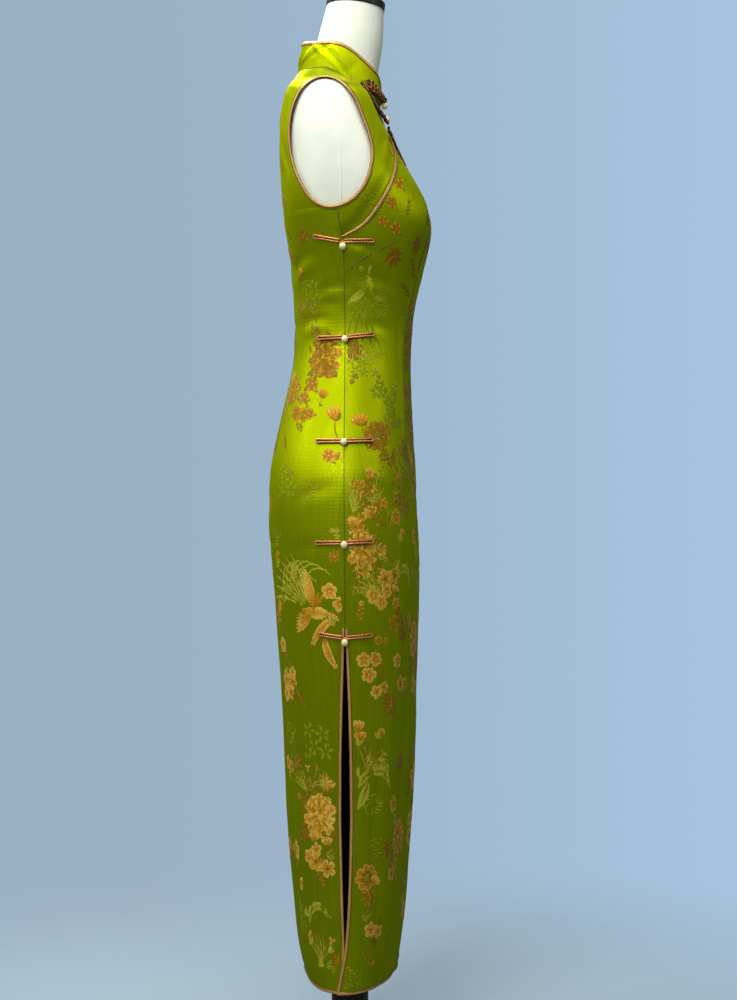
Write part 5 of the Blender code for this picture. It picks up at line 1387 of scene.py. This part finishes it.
# (figure, degrees from the right seam towards the front, level, size in mm, turn, tone shift)
figurePlaces = (
    ("leafStar", -25.5, 1.2098, 13, 20, -0.1), ("blossom", -49.5, 1.1891, 10, 0, -0.12),
    ("spray", -40, 1.206, 10, 30, -0.12), ("leafStar", 31.5, 1.1822, 17, 200, -0.1),
    ("blossom", 31.5, 1.2202, 8, 10, -0.08), ("spray", 37.5, 1.2375, 11, -40, -0.1),
    ("blossom", 24, 1.229, 7, 50, -0.1), ("bird", 16.5, 1.1345, 27, 70, -0.62),
    ("scroll", 24, 1.112, 22, 0, 0.0), ("scroll", 8, 1.091, 17, 40, 0.0),
    ("ghost", -26, 1.132, 19, 0, 0.0), ("leafStar", 52, 1.202, 15, 70, -0.06),
    ("spray", 62, 1.15, 15, 20, -0.1), ("blossom", 70, 1.118, 12, 0, -0.08),
    ("ghost", 58, 1.102, 20, 10, 0.0), ("peony", -12, 1.0393, 27, 10, -0.12),
    ("leaf", -27, 1.051, 6, 20, -0.1), ("leaf", -24, 1.03, 6, -30, -0.1),
    ("leaf", -24, 1.012, 6, 50, -0.1), ("peony", 3.5, 1.048, 15, 30, -0.3),
    ("leaf", -21, 1.06, 6, 10, -0.1), ("blossom", -21.5, 0.999, 10, 0, -0.12),
    ("blossom", -26.5, 0.98, 8, 30, -0.12), ("bud", -14, 0.9786, 10, -20, -0.04),
    ("twin", -29, 0.956, 16, 10, -0.12), ("blossom", -21, 0.956, 8, 40, -0.12),
    ("bud", -4.8, 0.9441, 18, -8, 0.04), ("scroll", 17, 1.043, 22, 0, 0.0),
    ("ghost", 7.5, 1.024, 15, 0, 0.0), ("bud", 9, 0.9372, 15, 12, 0.02),
    ("oval", 18, 0.9234, 20, 10, -0.08), ("longSpray", 27, 0.9752, 22, 14, -0.52),
    ("longSpray", 32, 0.945, 17, -10, -0.52), ("spray", 11, 0.899, 12, -20, -0.16),
    ("longSpray", 25, 0.887, 15, 20, -0.1), ("blossom", -7.5, 0.8958, 9, 0, 0.06),
    ("blossom", -2.0, 0.893, 8, 30, 0.02), ("leaf", -40, 0.916, 10, 30, -0.1),
    ("spray", -46, 0.935, 12, 10, -0.14), ("ghost", -34, 0.862, 22, 0, 0.0),
    ("scroll", -18, 0.85, 20, 0, 0.0), ("scroll", 40, 0.87, 20, 30, 0.0),
    ("grass", 4, 0.815, 24, -8, 0.06), ("vine", 15, 0.838, 24, 10, 0.1),
    ("longSpray", 9, 0.829, 22, -26, 0.02), ("grass", 16, 0.7, 18, 30, 0.04),
    ("grass", -5, 0.656, 12, 20, 0.06), ("grass", -22, 0.42, 18, 30, 0.08),
    ("grass", 10, 0.448, 20, -10, 0.1), ("grass", -12, 0.18, 20, 10, 0.08),
    ("grass", 27, 0.925, 14, 10, -0.04), ("leafStar", 6, 0.799, 15, 30, 0.16),
    ("peony", 6.5, 0.77, 23, 40, 0.03), ("spray", 5.5, 0.734, 15, -60, -0.12),
    ("vine", 25, 0.817, 22, -10, 0.0), ("blossom", 28.5, 0.8095, 10, 0, -0.06),
    ("longSpray", 37, 0.817, 24, 0, -0.06), ("blossom", 18, 0.764, 8, 20, 0.1),
    ("vine", 20, 0.747, 15, 60, 0.0), ("ghost", 12.5, 0.73, 14, 0, 0.1),
    ("twin", 23, 0.724, 17, 30, 0.08), ("blossom", 13.5, 0.7, 11, 10, 0.1),
    ("blossom", 17.5, 0.69, 10, 30, 0.1), ("spray", 30, 0.701, 14, 10, -0.04),
    ("blossom", -7, 0.706, 10, 0, 0.1), ("blossom", -2.2, 0.688, 9, 20, 0.08),
    ("leafStar", -4.5, 0.754, 10, 0, 0.1), ("bird", -16, 0.678, 36, -38, 0.06),
    ("plume", -13, 0.646, 20, -28, 0.08), ("plume", -7.2, 0.613, 19, 36, 0.06),
    ("leafStar", -20, 0.67, 11, 20, 0.12), ("hooks", -34, 0.724, 26, 30, -0.12),
    ("vine", -37, 0.695, 22, -30, 0.04), ("scroll", -46, 0.78, 20, 0, 0.0),
    ("twin", -36, 0.5748, 18, 20, 0.12), ("blossom", -31, 0.586, 9, 0, 0.14),
    ("leaf", -24, 0.55, 10, 40, 0.06), ("blossom", -42, 0.625, 10, 10, 0.1),
    ("spray", -47, 0.656, 13, -30, 0.04), ("blossom", 8.5, 0.61, 9, 0, 0.06),
    ("blossom", 14.5, 0.61, 9, 30, 0.06), ("blossom", 11, 0.589, 10, 50, 0.08),
    ("spray", 19, 0.59, 13, 20, 0.0), ("oval", 16, 0.636, 6, 0, 0.06),
    ("oval", 20.5, 0.634, 5, 0, 0.0), ("longSpray", 33, 0.642, 24, 8, 0.02),
    ("leafStar", 24, 0.5423, 18, 60, -0.04), ("leaf", 30, 0.68, 9, 20, 0.0),
    ("ghost", -15, 0.4955, 24, 0, 0.04), ("bud", 5.5, 0.508, 14, 10, 0.1),
    ("hooks", 8.5, 0.465, 26, -6, 0.0), ("hooks", 15.5, 0.478, 20, -30, 0.02),
    ("ghost", 21, 0.464, 18, 0, 0.06), ("scroll", 14, 0.406, 20, 0, 0.08),
    ("leaf", 8.5, 0.42, 17, -22, -0.14), ("peony", -13.5, 0.3919, 27, 0, 0.12),
    ("leafStar", -10, 0.436, 16, 90, -0.16), ("leaf", -22, 0.398, 15, 0, -0.02),
    ("bud", -17, 0.351, 11, 0, 0.1), ("bud", -9, 0.348, 10, 10, 0.1),
    ("twin", -13.0, 0.32, 18, 0, 0.08), ("vine", -7, 0.333, 14, -30, 0.1),
    ("oval", 10.5, 0.303, 17, 0, 0.06), ("leafStar", 12, 0.2746, 15, 90, 0.06),
    ("leaf", 22, 0.336, 15, 10, 0.0), ("ghost", 17, 0.342, 15, 0, 0.08),
    ("twin", 15, 0.226, 14, 0, 0.14), ("spray", 9, 0.206, 13, 200, 0.04),
    ("hooks", -13, 0.195, 22, 40, 0.0), ("vine", -6, 0.176, 18, -60, 0.1),
    ("leafStar", -4.5, 0.188, 8, 90, 0.06), ("ghost", 5.0, 0.164, 13, 0, 0.14),
    ("blossom", -36, 0.33, 12, 0, 0.06), ("spray", -38, 0.29, 17, 10, 0.02),
    ("ghost", -33, 0.235, 20, 0, 0.06), ("leafStar", -30, 0.456, 14, 30, 0.0),
    ("scroll", -40, 0.498, 22, 0, 0.04), ("blossom", 28, 0.4, 10, 0, 0.04),
    ("spray", 31, 0.28, 18, -10, 0.02), ("scroll", 27, 0.208, 20, 20, 0.06),
    ("leafStar", 36, 0.456, 15, 10, 0.0), ("vine", 9, 0.71, 20, 20, 0.14),
    ("vine", 19, 0.76, 22, 60, 0.14), ("bud", 13, 0.808, 14, 20, 0.1),
    ("twin", 10, 0.743, 15, 80, 0.1), ("bud", 3.5, 0.795, 12, -10, 0.12),
    ("spray", 22, 0.79, 15, 40, -0.06), ("leaf", 14, 0.724, 9, 30, 0.0),
    ("leaf", 5.5, 0.71, 9, -30, 0.0), ("twin", -18, 0.334, 14, 60, 0.14),
    ("spray", -18, 0.39, 15, 40, 0.0), ("bud", -8.5, 0.426, 12, -20, 0.12),
    ("vine", -16, 0.434, 18, 10, 0.14), ("twin", -38, 0.556, 15, 30, 0.14),
    ("leaf", -29, 0.57, 10, 30, 0.04), ("vine", -38, 0.59, 18, 20, 0.14),
    ("bud", 14, 0.29, 12, -30, 0.12), ("vine", 11, 0.248, 16, 10, 0.14),
    ("leaf", 4, 0.256, 9, 20, 0.0), ("blossom", 21, 0.705, 9, 20, 0.1),
    ("bud", 26, 0.7, 11, -20, 0.08), ("twin", 17, 0.566, 12, 40, 0.1),
    ("peony", 60, 0.63, 25, 20, 0.04), ("twin", 66, 0.56, 17, 0, 0.06),
    ("hooks", 74, 0.73, 26, 10, 0.0), ("bird", 70, 0.865, 34, -20, 0.0),
    ("peony", 84, 0.43, 26, -20, 0.1), ("twin", 78, 0.34, 18, 40, 0.1),
    ("spray", 56, 0.29, 17, 10, 0.04), ("blossom", 64, 0.23, 11, 0, 0.08),
    ("grass", 88, 0.24, 20, 0, 0.06), ("leafStar", 58, 0.46, 15, 0, 0.0),
    ("longSpray", 86, 0.57, 24, 10, 0.04), ("blossom", 58, 0.78, 11, 0, 0.0),
    ("twin", 82, 1.0, 17, 20, -0.12), ("spray", 84, 1.07, 15, -20, -0.12),
    ("peony", 78, 0.94, 24, 40, -0.1), ("leaf", 4, 0.556, 8, 40, 0.06),
    ("blossom", 29, 0.605, 9, 0, 0.06), ("twin", 36, 0.57, 14, 10, 0.04),
    ("twin", -45, 0.45, 13, 0, 0.0), ("hooks", -24, 0.26, 22, 20, 0.0),
    ("peony", 37, 0.35, 22, 10, 0.02), ("twin", 30, 0.305, 14, 60, 0.06),
    ("hooks", 33, 0.75, 24, -20, 0.0), ("spray", 5, 0.66, 12, -30, 0.08),
    ("peony", -44, 0.995, 20, 20, -0.2), ("hooks", -36, 1.13, 22, -20, -0.06),
    ("spray", -30, 1.09, 14, 40, -0.14), ("blossom", 30, 1.256, 8, 0, -0.1),
    # the bodice above the bust and round the armholes
    ("blossom", 36, 1.29, 10, 0, -0.1), ("spray", 48, 1.315, 14, 30, -0.1),
    ("leafStar", 66, 1.272, 13, 0, -0.1), ("ghost", 78, 1.315, 19, 0, 0.0),
    ("peony", 84, 1.23, 24, 30, -0.1), ("blossom", 70, 1.365, 11, 0, -0.12),
    ("spray", 86, 1.4, 13, 60, -0.12), ("leaf", 58, 1.348, 9, 20, -0.12),
    ("blossom", -44, 1.265, 10, 0, -0.12), ("spray", -38, 1.3, 13, 20, -0.14),
    ("ghost", -56, 1.34, 20, 0, 0.0), ("leafStar", -48, 1.39, 12, 0, -0.12),
    ("peony", -78, 1.325, 25, 0, -0.12), ("spray", -66, 1.25, 16, -20, -0.12),
    ("blossom", -84, 1.42, 11, 0, -0.12), ("leafStar", -70, 1.17, 14, 0, -0.1),
    ("ghost", 20, 1.256, 14, 0, 0.0), ("leaf", 16, 1.415, 8, 0, -0.12),
    ("blossom", 20, 1.456, 9, 0, -0.12), ("blossom", -22, 1.456, 9, 0, -0.12),
    ("spray", 40, 1.47, 11, 0, -0.12),
)
# the rest of the dress repeats the cloth's figures, turned round it and shifted as the next repeats are:
# (hand, degrees it starts from, shift up, lowest and highest degrees it takes)
figureRepeats = ((1, 0, 0.0, -60, 90), (-1, 180, 0.021, -45, 45.1), (1, 180, -0.026, -45, 45),
                 (-1, 0, 0.013, -90.1, -50), (1, 90, 0.034, -38, 46), (1, 270, 0.017, -40, 40))
figureScale = {"peony": 1.25, "blossom": 1.12, "twin": 1.2, "bird": 1.15, "leafStar": 1.2, "leaf": 1.3,
               "ghost": 1.3}
bladeRows = 6  # points along a blade; each row is its two edges and the ridge between them
bladeLift = {"row": (0.00006, 0.00026, 0.00006), "step": 0.00002}  # over the cloth, and between crossed ones
hipLevel = 0.86  # the brocade's tones change here
figureEdge = {"seam": 0.0026, "slit": 0.0062, "hem": 0.0068, "neck": 0.002}  # what blades keep clear of each


def bladePoints(blades, low):
    # each blade's middle line by summing its turning steps; its width swells as a sine
    steps = np.linspace(0, 1, bladeRows)
    heading = np.radians(blades[:, 2:3] + blades[:, 4:5] * steps)
    mid = (heading[:, 1:] + heading[:, :-1]) / 2
    zero = np.zeros((len(blades), 1))
    reach = blades[:, 3:4] / (bladeRows - 1)
    x = blades[:, 0:1] + np.concatenate([zero, np.cumsum(np.cos(mid) * reach, axis=1)], axis=1)
    y = blades[:, 1:2] + np.concatenate([zero, np.cumsum(np.sin(mid) * reach, axis=1)], axis=1)
    power = np.where(blades[:, 6:7] < 0.6, 1.5, 0.9)
    swell = np.clip(np.sin(math.pi * (0.02 + 0.96 * steps) ** power), 0.03, 1) ** blades[:, 6:7]
    half = blades[:, 5:6] / 2 * swell
    side = np.array([1.0, 0.0, -1.0])
    px = x[..., None] - (np.sin(heading) * half)[..., None] * side
    py = y[..., None] + (np.cos(heading) * half)[..., None] * side
    tone = blades[:, 7:8] + (blades[:, 8:9] - blades[:, 7:8]) * steps
    # broad blades are outlined: paler low on the skirt, darker above
    edge = np.where(blades[:, 7] < 0.4, -0.11 if low else 0.04, 0.2 if low else -0.16)
    rim = np.where((blades[:, 5] > 0.12) & (np.abs(blades[:, 4]) < 120), edge, 0.0)[:, None, None]
    tone = tone[..., None] + rim * np.array([1.0, -0.3, 1.0])
    return px, py, tone


def figuresOn(rows):
    # every blade of the placed figures as angle, level, tone and lift
    phis, levelsAt, tones, lifts = [], [], [], []
    for kind, degrees, at, size, turn, shift in rows:
        px, py, tone = bladePoints(figures[kind], at < hipLevel)
        size = size * figureScale.get(kind, 1.25)
        centre = np.array([math.radians(degrees)])
        _, along, up, _ = surfaceFrame(centre, np.array([min(at, body["neck"] - 0.001)]))
        c, s = math.cos(math.radians(turn)) * size, math.sin(math.radians(turn)) * size
        aside, above = (px * c - py * s) / 1000, (px * s + py * c) / 1000
        phis.append(centre[0] + aside / np.linalg.norm(along[0]))
        levelsAt.append(at + above / np.linalg.norm(up[0]))
        faint, sunk = kind in ("ghost", "scroll"), shift < -0.5
        tone = tone + (shift * 0.5 if faint and not sunk else shift)
        # above the hips the cloth is bright, and the leaves are woven darker than it
        if at >= hipLevel and not faint and not sunk:
            tone = np.maximum(tone, 0.36 + 0.3 * (tone - 0.2))
        tones.append(np.clip(tone, 0, 1))
        order = (np.arange(len(px)) % 9 * bladeLift["step"])[:, None, None]
        lifts.append(order + np.array(bladeLift["row"]) + 0 * px)
    return tuple(np.concatenate(values) for values in (phis, levelsAt, tones, lifts))


def repeatPlaces():
    rows = []
    for k, (hand, start, shift, low, high) in enumerate(figureRepeats):
        for j, (kind, degrees, at, size, turn, tone) in enumerate(figurePlaces):
            if low <= degrees <= high and (k < 4 or j % 3 == k % 2):
                where = at + shift * (1 if 0.17 < at + shift < 1.44 else 0)
                place = start + degrees if hand > 0 else start - degrees
                rows.append((kind, place, where, size, turn if hand > 0 else 180 - turn, tone))
    return rows


def weaveFigures():
    phi, level, tone, lift = figuresOn(repeatPlaces())
    inside = level.max(axis=(1, 2)) < body["neck"] - figureEdge["neck"]
    inside &= level.min(axis=(1, 2)) > body["hem"] + figureEdge["hem"]
    phi, level, tone, lift = (values[inside] for values in (phi, level, tone, lift))
    ahead = np.mod(phi + math.pi / 2, 2 * math.pi) - math.pi / 2  # front from 0 to pi, back beyond either end
    width = ringCurve["halfWidth"](level)
    margin = figureEdge["seam"] / width
    past = lambda part: slitEdges(level, part, figureEdge["slit"])[1] / width
    slit = lambda part: np.where(level < body["slitTop"], past(part), 0)
    whole = lambda test: test.all(axis=(1, 2))
    frontIn = whole((ahead > np.maximum(openingEdge(level) + margin, slit(1)))
                    & (ahead < math.pi - np.maximum(armEdge(level, 1) + margin, slit(1))))
    openPhi = np.interp(level, opening[1], opening[0])
    flapIn = whole((level > openingLow) & (ahead > armEdge(level, 1) + margin)
                   & (ahead < openPhi - 0.5 * margin))
    behind = np.mod(phi, 2 * math.pi)
    backIn = whole((behind > math.pi + np.maximum(armEdge(level, -1) + margin, slit(-1)))
                   & (behind < 2 * math.pi - np.maximum(armEdge(level, -1) + margin, slit(-1))))
    rightFront = whole(ahead < math.pi / 2)
    rightBack = whole(behind > 3 * math.pi / 2)
    corners = 3 * bladeRows
    skin = gridQuads(bladeRows, 3, wrapColumns=True)[:, ::-1]
    noDrop = lambda phi, level: 0
    for name, inside, drop in (("front_right", frontIn & rightFront, noDrop),
                               ("front_left", frontIn & ~rightFront, noDrop),
                               ("flap", flapIn & ~frontIn, flapDrop),
                               ("back_right", backIn & rightBack, lapDrop),
                               ("back_left", backIn & ~rightBack, lapDrop)):
        angle = (behind if name[:4] == "back" else ahead)[inside]
        at = level[inside]
        points = clothPoint(angle, at, lift[inside] - drop(angle, at))
        start = np.arange(len(points)) * corners
        quads = (skin[None] + start[:, None, None]).reshape(-1, 4)
        root = start[:, None] + np.arange(3)
        tips = np.concatenate([root, root[:, ::-1] + corners - 3])
        addMesh(f"brocade_figures_{name}", points, quads, brocadeThread, tone=tone[inside],
                ends=tips, sharp=70)
        print(f"brocade figures, {name}: {len(points)} blades")


weaveFigures()

# Sheets: the cut of what shows, each printed with its area

tellSheet(frontPanel, frontArea)
tellSheet(backPanel, backArea)
tellSheet(flapPanel, flapArea)
tellSheet(collarPiece, collarArea)

# Floor, light and camera

stage = {"radius": 1.5, "floor": "#849ab0", "floorHeight": -0.0005, "fadeFrom": 0.35,
         "backdrop": ("#a8c7e4", "#9ab0c3"), "ambient": "#c6d5c2", "ambientPower": 0.25,
         "aim": (0, 0, 0.9), "boxDepth": 0.9}
# each soft box: place, width, power and colour; all face the dress's middle
softboxes = {
    "softboxBehind": ((1.08, 1.29, 3.39), 0.9, 121, "#fff9ee"),
    "softboxAbove": ((-1.62, 0.43, 3.39), 0.9, 46, "#fff9ee"),
    "softboxTop": ((-0.90, -0.10, 3.75), 1.2, 41, "#fff9ee"),
    "softboxLow": ((-2.65, 0.71, 2.12), 0.9, 22, "#fffaf0"),
    "softboxBack": ((-0.71, 2.65, 2.12), 0.9, 15, "#fffaf0"),
    "softboxFront": ((-0.71, -2.65, 2.12), 0.9, 7, "#fffaf0"),
}
# the camera: degrees towards the front, metres away, to the right and up, millimetres of lens and film
view = {"turn": 4.5, "away": 2.5, "aside": 0.02775, "height": 0.833, "lens": 60.0, "sensor": 36.0}


def buildFloor():
    # a pale disc that fades out into the backdrop
    turns = np.linspace(0, 2 * math.pi, 96, endpoint=False)
    radii = np.linspace(0.01, stage["radius"], 24)
    points = np.stack([np.outer(radii, np.cos(turns)), np.outer(radii, np.sin(turns)),
                       np.full((24, 96), stage["floorHeight"])], axis=-1)
    quads = gridQuads(24, 96, wrapColumns=True)
    mesh = bpy.data.meshes.new("studioFloor")
    mesh.from_pydata(points.reshape(-1, 3).tolist(), [], quads.tolist() + [tuple(range(95, -1, -1))])
    material, tree, shader = newMaterial("paleStudioFloor", Roughness=0.9)
    shader.inputs["Base Color"].default_value = linear(stage["floor"])
    place = addNode(tree, "TexCoord").outputs["Object"]
    far = addNode(tree, "VectorMath", {0: place}, operation="LENGTH").outputs["Value"]
    fade = addNode(tree, "MapRange", {"Value": far, "From Min": stage["fadeFrom"],
                                      "From Max": stage["radius"] * 0.95, "To Min": 1.0, "To Max": 0.0},
                   interpolation_type="SMOOTHSTEP")
    tree.links.new(fade.outputs[0], shader.inputs["Alpha"])
    mesh.materials.append(material)
    floor = bpy.data.objects.new("studio_floor", mesh)
    bpy.context.scene.collection.objects.link(floor)
    floor.visible_diffuse = floor.visible_glossy = False  # the floor throws no light back on the hem


def buildWorld():
    # a pale backdrop, a little lighter to the dress's front, and a dimmer, even light on the cloth
    world = bpy.data.worlds.new("studioWorld")
    bpy.context.scene.world = world
    world.use_nodes = True
    tree = world.node_tree
    tree.nodes.clear()
    towards = addNode(tree, "SeparateXYZ", {0: addNode(tree, "TexCoord").outputs["Generated"]}).outputs["Y"]
    share = addNode(tree, "MapRange", {"Value": towards, "From Min": -0.2, "From Max": 0.2}).outputs[0]
    pale = addNode(tree, "MixRGB", {"Fac": share, "Color1": linear(stage["backdrop"][0]),
                                    "Color2": linear(stage["backdrop"][1])}).outputs[0]
    toEye = addNode(tree, "Background", {"Color": pale, "Strength": 1.0})
    toCloth = addNode(tree, "Background", {"Color": linear(stage["ambient"]),
                                           "Strength": stage["ambientPower"]})
    path = addNode(tree, "LightPath")
    mixed = addNode(tree, "MixShader", {0: path.outputs["Is Camera Ray"], 1: toCloth.outputs[0],
                                        2: toEye.outputs[0]})
    addNode(tree, "OutputWorld", {"Surface": mixed.outputs[0]})


def setUp(name, data, side, rise, back, place):
    # stands a light or camera at a place, turned by its own three axes
    obj = bpy.data.objects.new(name, data)
    matrix = np.eye(4)
    matrix[:3, 0], matrix[:3, 1], matrix[:3, 2], matrix[:3, 3] = side, rise, back, place
    obj.matrix_world = Matrix(matrix.tolist())
    bpy.context.scene.collection.objects.link(obj)
    return obj


def buildSoftboxes():
    for name, (place, width, power, colour) in softboxes.items():
        light = bpy.data.lights.new(name, "AREA")
        light.shape, light.size, light.size_y, light.energy = "RECTANGLE", width, stage["boxDepth"], power
        light.color = linear(colour)[:3]
        back = unit(np.array(place) - np.array(stage["aim"]))
        side = unit(np.cross((0, 0, 1), back))
        setUp(name, light, side, np.cross(back, side), back, place)


def buildCamera():
    # level, square to the right side and turned a little towards the front
    turn = math.radians(view["turn"])
    ahead = np.array([math.cos(turn), math.sin(turn), 0.0])
    right = np.array([math.sin(turn), -math.cos(turn), 0.0])
    camera = bpy.data.cameras.new("studioCamera")
    camera.lens, camera.sensor_width, camera.sensor_fit = view["lens"], view["sensor"], "AUTO"
    camera.clip_end = 50
    place = -view["away"] * ahead + view["aside"] * right + np.array([0, 0, view["height"]])
    bpy.context.scene.camera = setUp("studioCamera", camera, right, (0, 0, 1), -ahead, place)


buildFloor()
buildWorld()
buildSoftboxes()
buildCamera()
bpy.context.scene.view_settings.view_transform = "Standard"
print("stage set")

bpy.context.view_layer.update()
